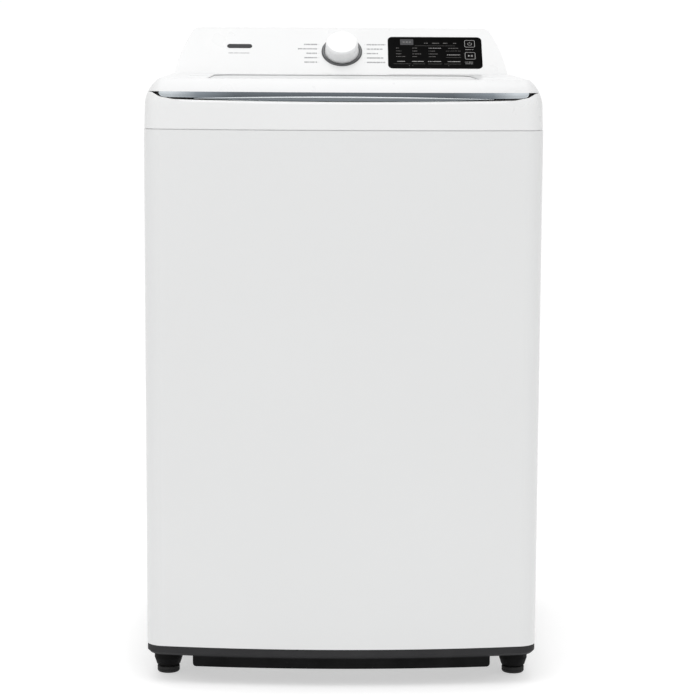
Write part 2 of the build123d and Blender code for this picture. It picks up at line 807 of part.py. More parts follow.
def top_moulding():
    """Moulded top: shoulders, deck, loading opening, hinge towers and the console's seat."""
    inner_front = SEAT_FRONT_Y + WALL
    under_deck = DECK_Z - WALL
    drawer_gap = (DRAWER_X[0] - 2, DRAWER_X[1] + 2)
    with BuildPart() as cover:
        add(shoulder_block(COVER_Z, RIM_Z, 0, BACK_Y))
        add(shoulder_block(RIM_Z, FRONT_RIM_Z, 0, RIM_BACK_Y))
        add(front_rim_cut(), mode=Mode.SUBTRACT)
        fillet(front_edge(cover), FRONT_ROUND)
        add(clipped(shoulder_block(RIM_Z, SEAT_Z, 0, BACK_Y), y=(SEAT_FRONT_Y, 400)))
        add(shoulder_block(COVER_Z - 5, under_deck, WALL, BACK_Y - WALL), mode=Mode.SUBTRACT)
        hollow = shoulder_block(under_deck - 1, SEAT_Z - WALL, WALL, BACK_Y - WALL)
        add(clipped(hollow, y=(inner_front, 400)), mode=Mode.SUBTRACT)
        recess = shoulder_block(DECK_Z, FRONT_RIM_Z + 1, RIM_WALL, SEAT_FRONT_Y)
        add(clipped(recess, y=(FRONT_Y + 22, 400)), mode=Mode.SUBTRACT)
        with BuildSketch(Plane.XY.offset(CABINET_TOP)):
            add(outline(2.6, BACK_Y - 2))
            add(outline(6, BACK_Y - 6), mode=Mode.SUBTRACT)
        extrude(amount=COVER_Z + 2 - CABINET_TOP)
        add(prism(opening_plan(WALL), COLLAR_Z, under_deck + 0.5))
        add(prism(opening_plan(0), COLLAR_Z - 2, DECK_Z + 1), mode=Mode.SUBTRACT)
        for side in (-1, 1):
            for reach in (-18, 18):
                add(hinge_tower(side * HINGE_X + reach))
        add(cuboid(drawer_gap, (60, 100), (COLLAR_Z + 6, under_deck)), mode=Mode.SUBTRACT)
        add(cuboid(*STRIKER_SLOT, (under_deck - 1, DECK_Z + 1)), mode=Mode.SUBTRACT)
        for x in INLET_XS.values():
            add(rear_disc((x, INLET_Z), INLET_R + 0.3, BACK_Y - 7, BACK_Y + 1), mode=Mode.SUBTRACT)
        add(rear_disc(GLAND_XZ, 11, BACK_Y - 7, BACK_Y + 1), mode=Mode.SUBTRACT)
        for x in (-200, 0, 200):
            wiring = cuboid((x - 40, x + 40), (200, 300), (SEAT_Z - WALL - 1, SEAT_Z + 1))
            add(wiring, mode=Mode.SUBTRACT)
    return cover.part


def make_top_cover():
    """The top moulding in abutting sections, none of which wraps round an opening."""
    whole = top_moulding()
    front, side, rear = SECTION_FRONT_Y, SECTION_X, SECTION_REAR_Y
    under_deck, back = DECK_Z - WALL - 0.5, BACK_Y - 8
    regions = [
        {"y": (-400, front)},
        {"x": (-400, -side), "y": (front, rear)},
        {"x": (-side, side), "y": (front, rear)},
        {"x": (side, 400), "y": (front, rear)},
        {"y": (rear, 400), "z": (under_deck, 1200)},
        {"y": (rear, back), "z": (0, under_deck)},
        {"y": (back, 400), "z": (0, under_deck)},
    ]
    sections = [solid for region in regions for solid in clipped(whole, **region).solids()]
    return Compound(sections)


def make_dispenser_housing():
    """Water box under the deck that the drawer slides in."""
    left, right = DRAWER_X[0] - 5, DRAWER_X[1] + 5
    low, high = 956.0, DECK_Z - WALL
    inside = (low + WALL, high - WALL)
    with BuildPart() as housing:
        add(cuboid((left, right), (100, 238), (low, high)))
        add(cuboid((left + WALL, right - WALL), (99, 234), inside), mode=Mode.SUBTRACT)
    return housing.part


def make_dispenser_drawer():
    """Three-compartment drawer: detergent, bleach and softener."""
    left, right = DRAWER_X
    cells, wall, floor_z = 3, 2.0, 961.0
    width = (right - left) / cells
    middle = (left + right) / 2
    with BuildPart() as drawer:
        add(cuboid((left, right), (84, 226), (floor_z, 1002)))
        for cell in range(cells):
            low = left + cell * width
            x = (low + wall, low + width - wall)
            add(cuboid(x, (88, 223), (floor_z + 2.5, 1003)), mode=Mode.SUBTRACT)
        add(cuboid((left, right), (78, 84), (floor_z, 1012)))
        add(cuboid((middle - 30, middle + 30), (77, 81), (floor_z - 1, 972)), mode=Mode.SUBTRACT)
    return drawer.part


def make_lid_lock():
    """Lock body under the deck, with the slot that takes the lid's striker."""
    gap = 0.6
    bolt_way = [(low - gap, high + gap) for low, high in LOCK_BOLT]
    with BuildPart() as lock:
        add(cuboid((252, 300), (-185, -115), (985, DECK_Z - WALL)))
        add(cuboid((264, 288), (-164, -136), (992, DECK_Z)), mode=Mode.SUBTRACT)
        add(cuboid(*bolt_way), mode=Mode.SUBTRACT)
    return lock.part


def make_lid_lock_bolt():
    """Flat bolt that slides into the striker's eye."""
    return cuboid(*LOCK_BOLT)


def make_hinge_pins():
    """Steel pins of the lid's two hinges."""
    with BuildPart() as pins:
        with Locations((-HINGE_X, HINGE_Y, HINGE_Z), (HINGE_X, HINGE_Y, HINGE_Z)):
            Cylinder(HINGE_PIN_R, 48, rotation=(0, 90, 0))
    return pins.part


# ---------------------------------------------------------------- lid
def pane_plan(grow):
    """The glass pane's outline in plan, made larger or smaller all round."""
    with BuildSketch() as plan:
        with Locations((0, GLASS_Y)):
            RectangleRounded(GLASS[0] + 2 * grow, GLASS[1] + 2 * grow, GLASS_CORNER + grow)
    return plan.sketch


def make_lid_frame():
    """Full-width lid moulding with a rounded rim, a glass rebate and hinge barrels."""
    ceiling = LID_TOP - WALL - 4
    barrel, notch = 11.5, 25.0
    with BuildPart() as lid:
        add(shoulder_block(LID_Z, LID_TOP, 0, LID_BACK_Y))
        add(shoulder_block(LID_Z - 1, ceiling, 4, LID_BACK_Y - WALL), mode=Mode.SUBTRACT)
        add(prism(pane_plan(0.5), GLASS_TOP - GLASS[2], LID_TOP + 1), mode=Mode.SUBTRACT)
        add(prism(pane_plan(-GLASS_LEDGE), ceiling - 5, LID_TOP + 1), mode=Mode.SUBTRACT)
        for x in (-HINGE_X, HINGE_X):
            room = (HINGE_Y - 9, LID_BACK_Y + 1)
            add(cuboid((x - notch, x + notch), room, (LID_Z - 1, HINGE_Z + 11)), mode=Mode.SUBTRACT)
            with Locations((x, HINGE_Y, HINGE_Z)):
                Cylinder(HINGE_BARREL_R, 2 * barrel, rotation=(0, 90, 0))
            add(cuboid((x - barrel, x + barrel), (HINGE_Y - 6, HINGE_Y + 2), (HINGE_Z + 2, ceiling + 1)))
            with Locations((x, HINGE_Y, HINGE_Z)):
                Cylinder(HINGE_PIN_R + RUNNING_GAP, 30, rotation=(0, 90, 0), mode=Mode.SUBTRACT)
    return lid.part


def make_lid_glass():
    """Tempered glass pane, bedded in the lid's rebate."""
    return prism(pane_plan(0), GLASS_TOP - GLASS[2], GLASS_TOP)


def make_lid_liner():
    """Inner moulding of the lid, with the striker of the lid lock."""
    top = LID_TOP - WALL - 4
    with BuildPart() as liner:
        with BuildSketch(Plane.XY.offset(LINER_Z)):
            add(outline(30, 112))
            add(pane_plan(-GLASS_LEDGE), mode=Mode.SUBTRACT)
        extrude(amount=WALL)
        with BuildSketch(Plane.XY.offset(LINER_Z + WALL - 1)):
            add(pane_plan(WALL - GLASS_LEDGE))
            add(pane_plan(-GLASS_LEDGE), mode=Mode.SUBTRACT)
        extrude(amount=top - LINER_Z - WALL + 1)
        add(cuboid((270, 282), (-158, -142), (996, LINER_Z + 1)))
        add(cuboid((262, 290), (-152, -148), (1002, 1010)), mode=Mode.SUBTRACT)
    return liner.part


def front_strip(inset, depth, profile):
    """A strip that follows the bowed front, cut to a front-view profile."""
    with BuildPart() as strip:
        with BuildSketch(Plane.XY.offset(SHOULDER_Z)):
            add(outline(inset, 0))
            add(outline(inset + depth, 1), mode=Mode.SUBTRACT)
        extrude(amount=50)
        with BuildSketch(Plane.XZ.offset(280)):
            add(profile)
        extrude(amount=100, mode=Mode.INTERSECT)
    return strip.part


def make_lid_trim():
    """Bright strip under the lid's front lip, with round lower corners."""
    edge, end_z = 312.0, 1028.5
    with BuildSketch() as face:
        with BuildLine():
            ThreePointArc((-edge, end_z), (0, 1024.5), (edge, end_z))
            Polyline((edge, end_z), (edge, LID_Z), (-edge, LID_Z), (-edge, end_z))
        make_face()
        fillet(face.vertices().group_by(Axis.Y)[0], 5)
    return front_strip(10.4, 2.5, face.sketch)


def make_lid_grip():
    """Crescent finger grip on the trim, bevelled along its upper edge."""
    edge, end_z = 256.0, 1026.2
    with BuildSketch() as face:
        with BuildLine():
            ThreePointArc((-edge, end_z), (0, 1022.5), (edge, end_z))
            ThreePointArc((edge, end_z), (0, 1031.2), (-edge, end_z))
        make_face()
    return front_strip(7.4, 3, face.sketch)


def make_lid_bumpers():
    """Rubber buffers that the closed lid rests on."""
    gap = 0.2
    with BuildPart() as bumpers:
        for x in (-255, 255):
            for y in (-268, 60):
                add(ring(0, 7, DECK_Z + gap, LINER_Z, (x, y)))
    return bumpers.part


# ---------------------------------------------------------------- console
def console_block(inset, base=SEAT_Z, back=BACK_Y):
    """The console's form, standing inside by inset: a side profile crossed with a front one."""
    top = HEIGHT - inset
    foot_y, foot_z = FASCIA_FOOT
    run = 1 / sin(radians(FASCIA_ANGLE)) * cos(radians(FASCIA_ANGLE))
    slope_y = foot_y + inset / sin(radians(FASCIA_ANGLE))
    front = CONSOLE_FRONT_Y + inset
    step_z = foot_z - (slope_y - front) / run
    foot, head = 319.0 - inset, 283.0 - inset
    with BuildPart() as block:
        with BuildSketch(Plane.YZ) as side:
            with BuildLine():
                Polyline(
                    (front, base),
                    (front, max(step_z, base + 1)),
                    (slope_y + (top - foot_z) * run, top),
                    (back, top),
                    (back, base),
                    close=True,
                )
            make_face()
            fillet(side.vertices().group_by(Axis.Y)[-1].sort_by(Axis.X)[0], 10 - inset)
        extrude(amount=HALF_WIDTH, both=True)
        with BuildSketch(Plane.XZ) as face:
            with BuildLine():
                ThreePointArc((-foot, base), (-(foot + head) / 2 - 7, (base + top) / 2), (-head, top))
                Line((-head, top), (head, top))
                ThreePointArc((head, top), ((foot + head) / 2 + 7, (base + top) / 2), (foot, base))
                Line((foot, base), (-foot, base))
            make_face()
            fillet(face.vertices().group_by(Axis.Y)[-1], 16 - inset)
        extrude(amount=400, both=True, mode=Mode.INTERSECT)
    return block.part


def on_fascia(sketch, x, up, lift, thickness):
    """A sketch laid on the fascia, lift above its surface, and extruded inwards."""
    with BuildPart() as plate:
        with BuildSketch(fascia_plane(x, up, lift)):
            add(sketch)
        extrude(amount=-thickness)
    return plate.part


def rounded(width, height, radius):
    """A rectangle with round corners."""
    with BuildSketch() as panel:
        RectangleRounded(width, height, radius)
    return panel.sketch


def fascia_turned(points, x, up):
    """A solid of revolution about the fascia's normal, from (radius, lift) points."""
    foot = fascia_plane(x, up)
    profile = Plane(origin=foot.origin, x_dir=(1, 0, 0), z_dir=-SLOPE_UP)
    with BuildPart() as part:
        with BuildSketch(profile):
            with BuildLine():
                Polyline(*points, close=True)
            make_face()
        revolve(axis=Axis(foot.origin, FASCIA_NORMAL))
    return part.part


def make_console_front():
    """Console moulding: sloping fascia, ends and top, open at the back and below."""
    with BuildPart() as console:
        add(console_block(0))
        add(console_block(WALL, SEAT_Z - 1, BACK_Y + 1), mode=Mode.SUBTRACT)
        window = rounded(DISPLAY[0] + 0.6, DISPLAY[1] + 0.6, 9.3)
        add(on_fascia(window, DISPLAY_X, DISPLAY_UP, 5, 14), mode=Mode.SUBTRACT)
        add(fascia_turned([(0, -9), (12, -9), (12, 5), (0, 5)], KNOB_X, KNOB_UP), mode=Mode.SUBTRACT)
    return console.part


def make_console_back():
    """Rear plate of the console."""
    return clipped(console_block(WALL + 0.2), y=(BACK_Y - 2, 400))


def make_display_glass():
    """Black pane with two square holes for the keys."""
    width, height, thickness = DISPLAY
    with BuildPart() as pane:
        add(on_fascia(rounded(width, height, 9), DISPLAY_X, DISPLAY_UP, 0.5, thickness))
        for up in (POWER_UP, START_UP):
            hole = rounded(KEY[0] + 0.8, KEY[1] + 0.8, 2.4)
            add(on_fascia(hole, KEY_X, up, 5, 10), mode=Mode.SUBTRACT)
    return pane.part


def make_key(up):
    """Square push key, just proud of the pane."""
    return on_fascia(rounded(*KEY, 2), KEY_X, up, 0.9, 3.4)


def make_display_housing():
    """Tray behind the pane that holds the display board."""
    width, height, thickness = DISPLAY
    rim = 0.5 - thickness
    wall = 2.0
    inside = rounded(width - 6 - 2 * wall, height - 4 - 2 * wall, 5)
    with BuildPart() as housing:
        add(on_fascia(rounded(width - 6, height - 4, 7), DISPLAY_X, DISPLAY_UP, rim, 14))
        add(on_fascia(inside, DISPLAY_X, DISPLAY_UP, rim + 1, 13), mode=Mode.SUBTRACT)
    return housing.part


def make_display_board():
    """Circuit board of the display, on the floor of its tray."""
    width, height, _ = DISPLAY
    return on_fascia(rounded(width - 14, height - 12, 2), DISPLAY_X, DISPLAY_UP, -10.5, 1.6)


def make_selector_ring():
    """Bezel round the selector knob."""
    inner = KNOB_R + 0.8
    points = [
        (inner, 0), (RING_R, 0), (RING_R, 1), (RING_R - 2, 2.4), (inner + 1.2, 2.4), (inner, 1.6),
    ]
    return fascia_turned(points, KNOB_X, KNOB_UP)


def make_selector_knob():
    """Programme selector: a dished cap with a skirt and its spindle."""
    cap_r = KNOB_R - 2.5
    points = [
        (0, -14), (3, -14), (3, 2), (10, 2), (10, 20), (KNOB_R - 5.5, 20), (KNOB_R - 3, 1.2),
        (KNOB_R, 1.2), (KNOB_R, 3), (cap_r + 0.5, 22), (cap_r - 2, 26), (cap_r - 6, 27),
        (0, 25.5),
    ]
    with BuildPart() as knob:
        add(fascia_turned(points, KNOB_X, KNOB_UP))
        pointer = rounded(2.2, 12, 1)
        add(on_fascia(pointer, KNOB_X, KNOB_UP + cap_r - 9, 30, 3.6), mode=Mode.SUBTRACT)
    return knob.part


def make_selector_encoder():
    """Rotary encoder on its small board behind the fascia."""
    with BuildPart() as encoder:
        add(on_fascia(rounded(26, 26, 2), KNOB_X, KNOB_UP, -3.2, 9))
        add(on_fascia(rounded(64, 60, 3), KNOB_X, KNOB_UP, -12.2, 1.6))
        add(fascia_turned([(0, -15), (3.2, -15), (3.2, 0), (0, 0)], KNOB_X, KNOB_UP), mode=Mode.SUBTRACT)
    return encoder.part


def make_main_board_case():
    """Closed case of the main control board."""
    with BuildPart() as case:
        add(cuboid((-250, -95), (246, 326), (SEAT_Z, 1098)))
        fillet(case.edges().filter_by(Axis.Z), 4)
        add(cuboid((-190, -150), (232, 246), (SEAT_Z, 1070)))
    return case.part


# ---------------------------------------------------------------- build
MAKERS = {
    "base_frame": make_base_frame,
    "cabinet_wrap": make_cabinet_wrap,
    "rear_panel": make_rear_panel,
    "rear_access_cover": make_rear_access_cover,
    "back_screws": make_back_screws,
    "suspension_brackets": make_suspension_brackets,
    "suspension_rods": make_suspension_rods,
    "suspension_springs": make_suspension_springs,
    "suspension_cups": make_suspension_cups,
    "outer_tub": make_outer_tub,
    "tub_cover": make_tub_cover,
    "bearing_housing": make_bearing_housing,
    "bearings": make_bearings,
    "stator": make_stator,
    "wash_basket": make_wash_basket,
    "basket_base": make_basket_base,
    "balance_ring": make_balance_ring,
    "lint_filters": make_lint_filters,
    "spin_tube": make_spin_tube,
    "drive_shaft": make_drive_shaft,
    "pulsator": make_pulsator,
    "pulsator_cap": make_pulsator_cap,
    "rotor": make_rotor,
    "rotor_nut": make_rotor_nut,
    "drain_pump": make_drain_pump,
    "pump_impeller": make_pump_impeller,
    "sump_boot": make_sump_boot,
    "drain_tube": make_drain_tube,
    "drain_spigot": make_drain_spigot,
    "inlet_hoses": make_inlet_hoses,
    "power_cord_gland": make_power_cord_gland,
    "top_cover": make_top_cover,
    "dispenser_housing": make_dispenser_housing,
    "dispenser_drawer": make_dispenser_drawer,
    "lid_lock": make_lid_lock,
    "lid_lock_bolt": make_lid_lock_bolt,
    "hinge_pins": make_hinge_pins,
    "lid_frame": make_lid_frame,
    "lid_glass": make_lid_glass,
    "lid_liner": make_lid_liner,
    "lid_trim": make_lid_trim,
    "lid_grip": make_lid_grip,
    "lid_bumpers": make_lid_bumpers,
    "console_front": make_console_front,
    "console_back": make_console_back,
    "display_glass": make_display_glass,
    "display_housing": make_display_housing,
    "display_board": make_display_board,
    "selector_ring": make_selector_ring,
    "selector_knob": make_selector_knob,
    "selector_encoder": make_selector_encoder,
    "main_board_case": make_main_board_case,
}
parts = {name: make() for name, make in MAKERS.items()}
for corner, place in FOOT_PLACES.items():
    parts[f"foot_{corner}"] = make_foot(place)
for water, x in INLET_XS.items():
    parts[f"inlet_valve_{water}"] = make_inlet_valve(x)
for key, up in (("power", POWER_UP), ("start_pause", START_UP)):
    parts[f"{key}_key"] = make_key(up)

os.makedirs("parts", exist_ok=True)
for name, part in parts.items():
    part.label = name
    export_step(part, f"parts/{name}.step")
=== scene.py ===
import json
import math
import random

import bmesh
import bpy
from mathutils import Matrix, Vector


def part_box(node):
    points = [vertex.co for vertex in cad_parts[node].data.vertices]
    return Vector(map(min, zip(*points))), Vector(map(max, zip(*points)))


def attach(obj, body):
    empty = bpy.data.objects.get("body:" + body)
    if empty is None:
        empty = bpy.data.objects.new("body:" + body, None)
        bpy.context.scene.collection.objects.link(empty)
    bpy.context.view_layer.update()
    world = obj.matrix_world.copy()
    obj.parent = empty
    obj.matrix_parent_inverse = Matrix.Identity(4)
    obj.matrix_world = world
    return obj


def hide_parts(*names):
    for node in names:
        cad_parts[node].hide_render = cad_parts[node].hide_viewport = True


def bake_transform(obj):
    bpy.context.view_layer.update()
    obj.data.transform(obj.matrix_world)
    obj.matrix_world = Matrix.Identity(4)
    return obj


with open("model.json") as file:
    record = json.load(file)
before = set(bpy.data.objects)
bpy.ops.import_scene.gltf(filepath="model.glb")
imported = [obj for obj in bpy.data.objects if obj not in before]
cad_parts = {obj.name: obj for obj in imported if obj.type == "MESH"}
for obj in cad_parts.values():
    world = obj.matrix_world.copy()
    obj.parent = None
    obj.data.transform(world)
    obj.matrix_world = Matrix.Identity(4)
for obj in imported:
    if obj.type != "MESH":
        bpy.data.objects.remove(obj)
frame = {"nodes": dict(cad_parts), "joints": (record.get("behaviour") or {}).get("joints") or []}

MM = 0.001
NODES = frame["nodes"]
JOINTS = {joint["name"]: joint for joint in frame["joints"]}
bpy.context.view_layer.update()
scene = bpy.context.scene

FEET = ("front_left", "front_right", "rear_left", "rear_right")
ACROSS, AWAY, UP = Vector((1, 0, 0)), Vector((0, 1, 0)), Vector((0, 0, 1))
FASCIA_OUT = Vector(JOINTS["selector_turn"]["axis"]).normalized()
FASCIA_UP = FASCIA_OUT.cross(ACROSS)
FRONT_BOW = 2000.0  # radius of the bowed front in plan, mm
BELLOWS = (0.150, 0.200)  # heights in metres where the boot starts and stops giving way

BACKDROP = 1.02  # the studio's light behind the machine
SIDE_LOSS = 0.55  # how much less the side walls give
NEAR_LOSS = 0.15  # how much less the wall behind the camera gives


# ---------------------------------------------------------------- camera
def make_camera():
    """A long lens at the height of the console, tilted down at the machine's front."""
    lens = bpy.data.cameras.new("camera")
    lens.sensor_width = 36.0
    lens.lens = 120.5
    camera = bpy.data.objects.new("camera", lens)
    scene.collection.objects.link(camera)
    pitch, yaw, roll = math.radians(7.9), math.radians(-0.79), math.radians(0.3)
    turn = Matrix.Rotation(yaw, 4, "Z") @ Matrix.Rotation(math.pi / 2 - pitch, 4, "X")
    place = Matrix.Translation((-0.043, -4.34, 1.150))
    camera.matrix_world = place @ turn @ Matrix.Rotation(roll, 4, "Z")
    scene.camera = camera


make_camera()


# ---------------------------------------------------------------- material helpers
class Shader:
    """A Principled material with short calls for the procedural nodes that feed it."""

    def __init__(self, name, **values):
        self.material = bpy.data.materials.new(name)
        self.material.use_nodes = True
        self.tree = self.material.node_tree
        self.bsdf = self.tree.nodes["Principled BSDF"]
        for socket, value in values.items():
            self.bsdf.inputs[socket.replace("_", " ")].default_value = value
        coordinates = self.node("ShaderNodeTexCoord")
        self.place = coordinates.outputs["Object"]

    def node(self, kind, **settings):
        made = self.tree.nodes.new(kind)
        for name, value in settings.items():
            setattr(made, name, value)
        return made

    def link(self, source, target):
        self.tree.links.new(source, target)

    def stretched(self, scale):
        """The object coordinates, scaled along each axis."""
        mapping = self.node("ShaderNodeMapping")
        mapping.inputs["Scale"].default_value = scale
        self.link(self.place, mapping.inputs["Vector"])
        return mapping.outputs["Vector"]

    def noise(self, scale, detail=3.0, roughness=0.5, stretch=None):
        texture = self.node("ShaderNodeTexNoise")
        texture.inputs["Scale"].default_value = scale
        texture.inputs["Detail"].default_value = detail
        texture.inputs["Roughness"].default_value = roughness
        self.link(self.stretched(stretch) if stretch else self.place, texture.inputs["Vector"])
        return texture.outputs["Fac"]

    def cells(self, scale, feature="F1", output="Distance"):
        texture = self.node("ShaderNodeTexVoronoi", feature=feature)
        texture.inputs["Scale"].default_value = scale
        self.link(self.place, texture.inputs["Vector"])
        return texture.outputs[output]

    def ramp(self, source, *stops):
        """A colour ramp from (position, colour) stops."""
        ramp = self.node("ShaderNodeValToRGB")
        points = ramp.color_ramp.elements
        while len(points) < len(stops):
            points.new(0.5)
        for point, (position, colour) in zip(points, stops):
            point.position = position
            point.color = (*colour, 1.0)
        self.link(source, ramp.inputs["Fac"])
        return ramp.outputs["Color"]

    def span(self, source, low, high, start=0.3, end=0.7):
        """A value mapped from start..end onto low..high."""
        node = self.node("ShaderNodeMapRange")
        for socket, value in (("From Min", start), ("From Max", end), ("To Min", low), ("To Max", high)):
            node.inputs[socket].default_value = value
        self.link(source, node.inputs["Value"])
        return node.outputs["Result"]

    def math(self, operation, first, second):
        node = self.node("ShaderNodeMath", operation=operation)
        for socket, value in zip(node.inputs, (first, second)):
            if isinstance(value, (int, float)):
                socket.default_value = value
            else:
                self.link(value, socket)
        return node.outputs["Value"]

    def colour(self, source):
        self.link(source, self.bsdf.inputs["Base Color"])

    def roughness(self, source):
        self.link(source, self.bsdf.inputs["Roughness"])

    def bump(self, source, depth, strength=1.0):
        """Relief of the given depth in metres."""
        bump = self.node("ShaderNodeBump")
        bump.inputs["Strength"].default_value = strength
        bump.inputs["Distance"].default_value = depth
        self.link(source, bump.inputs["Height"])
        self.link(bump.outputs["Normal"], self.bsdf.inputs["Normal"])


def shade(colour, factor):
    """A colour made lighter or darker."""
    return tuple(min(1.0, channel * factor) for channel in colour)


# ---------------------------------------------------------------- materials
def painted(name, colour, coat=0.4):
    """Baked enamel on sheet steel: faint orange peel and a very slight unevenness of tone."""
    m = Shader(name, Coat_Weight=coat, Coat_Roughness=0.08, Specular_IOR_Level=0.5)
    m.colour(m.ramp(m.noise(1.7, 2), (0.35, shade(colour, 0.985)), (0.65, colour)))
    m.roughness(m.span(m.noise(9.0, 4), 0.30, 0.38))
    m.bump(m.noise(420.0, 2), 0.00006, 0.5)
    return m.material


def moulded(name, colour, grain=0.00004, low=0.26, high=0.36, scale=900.0):
    """Injection moulded plastic with a fine grain and soft gloss."""
    m = Shader(name, Specular_IOR_Level=0.5)
    m.colour(m.ramp(m.noise(3.1, 3), (0.3, shade(colour, 0.975)), (0.7, colour)))
    m.roughness(m.span(m.noise(14.0, 4), low, high))
    m.bump(m.noise(scale, 3, 0.6), grain, 0.6)
    return m.material


def textured(name, colour, specular=0.28):
    """Spark-eroded black plastic: coarse leathery grain, with a little dust in it."""
    m = Shader(name, Specular_IOR_Level=specular)
    dust = m.noise(26.0, 5)
    m.colour(m.ramp(dust, (0.4, colour), (0.8, shade(colour, 1.8))))
    m.roughness(m.span(dust, 0.42, 0.58))
    m.bump(m.cells(1400.0), 0.00012, 0.6)
    return m.material


def base_plastic(name, colour, lip):
    """Black base moulding, satin, with painted shade: its colour drops far darker below the lip's
    height, standing in for the shadow under the lip.
    """
    m = Shader(name, Specular_IOR_Level=0.06)
    split = m.node("ShaderNodeSeparateXYZ")
    m.link(m.place, split.inputs["Vector"])
    dust = m.noise(26.0, 5)
    # Painted shade: below the lip's height the colour falls to 0.12 of the black, as shadow under the
    # lip; the dust adds random tone
    level = m.span(split.outputs["Z"], 0.0, 0.7, lip - 0.002, lip + 0.002)
    share = m.math("ADD", level, m.math("MULTIPLY", dust, 0.3))
    m.colour(m.ramp(share, (0.1, shade(colour, 0.12)), (0.7, colour), (1.0, shade(colour, 1.5))))
    m.roughness(m.span(dust, 0.45, 0.6))
    m.bump(m.cells(1400.0), 0.00012, 0.6)
    return m.material


def rubbery(name, colour):
    """Matt moulded rubber with scuffs."""
    m = Shader(name, Specular_IOR_Level=0.35)
    scuff = m.noise(60.0, 6, 0.65)
    m.colour(m.ramp(scuff, (0.45, colour), (0.75, shade(colour, 2.2))))
    m.roughness(m.span(scuff, 0.62, 0.85))
    m.bump(m.noise(700.0, 3), 0.0001, 0.6)
    return m.material


def galvanised(name, colour):
    """Zinc-coated sheet with its spangle."""
    m = Shader(name, Metallic=1.0)
    spangle = m.node("ShaderNodeRGBToBW")
    m.link(m.cells(130.0, output="Color"), spangle.inputs["Color"])
    flake = spangle.outputs["Val"]
    m.colour(m.ramp(flake, (0.1, shade(colour, 0.84)), (0.6, colour), (0.95, shade(colour, 1.12))))
    m.roughness(m.span(flake, 0.30, 0.48, 0.1, 0.9))
    m.bump(m.noise(60.0, 3), 0.00008, 0.3)
    return m.material


def brushed(name, colour, along=(1.0, 1.0, 90.0)):
    """Stainless steel with fine brush lines."""
    m = Shader(name, Metallic=1.0, Anisotropic=0.5)
    lines = m.noise(26.0, 6, 0.7, along)
    m.colour(m.ramp(lines, (0.3, shade(colour, 0.86)), (0.7, colour)))
    m.roughness(m.span(lines, 0.20, 0.36))
    m.bump(lines, 0.00003, 0.4)
    return m.material


def polished(name, colour, low=0.06, high=0.16):
    """Bright plated trim with faint handling marks."""
    m = Shader(name, Metallic=1.0)
    smears = m.noise(18.0, 5, 0.6)
    m.colour(m.ramp(smears, (0.3, shade(colour, 0.95)), (0.7, colour)))
    m.roughness(m.span(smears, low, high))
    m.bump(m.noise(260.0, 2), 0.00002, 0.3)
    return m.material


def black_glass(name):
    """Back-printed black pane with an anti-glare finish and faint smears."""
    m = Shader(name, Specular_IOR_Level=0.02)
    smears = m.noise(22.0, 5, 0.6)
    m.colour(m.ramp(smears, (0.3, (0.001, 0.001, 0.001)), (0.7, (0.002, 0.002, 0.002))))
    m.roughness(m.span(smears, 0.08, 0.18))
    m.bump(m.noise(5.0, 1), 0.00002, 0.2)
    return m.material


def tinted_glass(name, colour):
    """Toughened grey glass, slightly wavy, with faint smears."""
    m = Shader(name, Transmission_Weight=0.92, IOR=1.5)
    smears = m.noise(12.0, 5, 0.6)
    m.colour(m.ramp(smears, (0.3, shade(colour, 0.95)), (0.7, colour)))
    m.roughness(m.span(smears, 0.0, 0.035, 0.45, 0.75))
    m.bump(m.noise(4.0, 1), 0.00005, 0.2)
    return m.material


def satin_strip(name, dark, pale, half_width):
    """Satin plated strip with painted shade: its colour darkens from its ends towards the middle,
    standing in for the shade under the lid's lip.
    """
    m = Shader(name, Metallic=1.0)
    split = m.node("ShaderNodeSeparateXYZ")
    m.link(m.place, split.inputs["Vector"])
    reach = m.math("ABSOLUTE", split.outputs["X"], 0.0)
    smears = m.noise(30.0, 4)
    share = m.math("ADD", m.math("DIVIDE", reach, half_width), m.math("MULTIPLY", smears, 0.06))
    # Painted shade and highlight: dark stop in the middle, pale stop at the ends; the smears add random
    # tone
    m.colour(m.ramp(share, (0.62, dark), (0.84, shade(dark, 1.9)), (0.97, pale)))
    m.roughness(m.span(smears, 0.22, 0.34))
    m.bump(m.noise(300.0, 3, 0.5, (1, 30, 30)), 0.00003, 0.3)
    return m.material


def cast(name, colour):
    """As-cast metal with a sandy skin."""
    m = Shader(name, Metallic=0.9)
    skin = m.noise(240.0, 5, 0.65)
    m.colour(m.ramp(m.noise(22.0, 4), (0.3, shade(colour, 0.8)), (0.7, colour)))
    m.roughness(m.span(skin, 0.42, 0.62))
    m.bump(skin, 0.0003, 0.6)
    return m.material


def board(name):
    """Circuit board: green mask over a lattice of tracks."""
    m = Shader(name, Specular_IOR_Level=0.5)
    tracks = m.node("ShaderNodeTexBrick")
    tracks.inputs["Scale"].default_value = 160.0
    tracks.inputs["Mortar Size"].default_value = 0.03
    tracks.inputs["Color1"].default_value = (0.012, 0.10, 0.04, 1)
    tracks.inputs["Color2"].default_value = (0.02, 0.14, 0.06, 1)
    tracks.inputs["Mortar"].default_value = (0.10, 0.30, 0.12, 1)
    m.link(m.place, tracks.inputs["Vector"])
    m.colour(tracks.outputs["Color"])
    m.roughness(m.span(m.noise(90.0, 3), 0.28, 0.45))
    m.bump(tracks.outputs["Fac"], 0.00005, 0.5)
    return m.material


def printed(name, colour):
    """Screen-printed ink: slightly uneven and matt."""
    m = Shader(name, Specular_IOR_Level=0.3)
    ink = m.noise(900.0, 3)
    m.colour(m.ramp(ink, (0.3, shade(colour, 0.88)), (0.7, colour)))
    m.roughness(m.span(ink, 0.45, 0.65))
    m.bump(ink, 0.00002, 0.4)
    return m.material


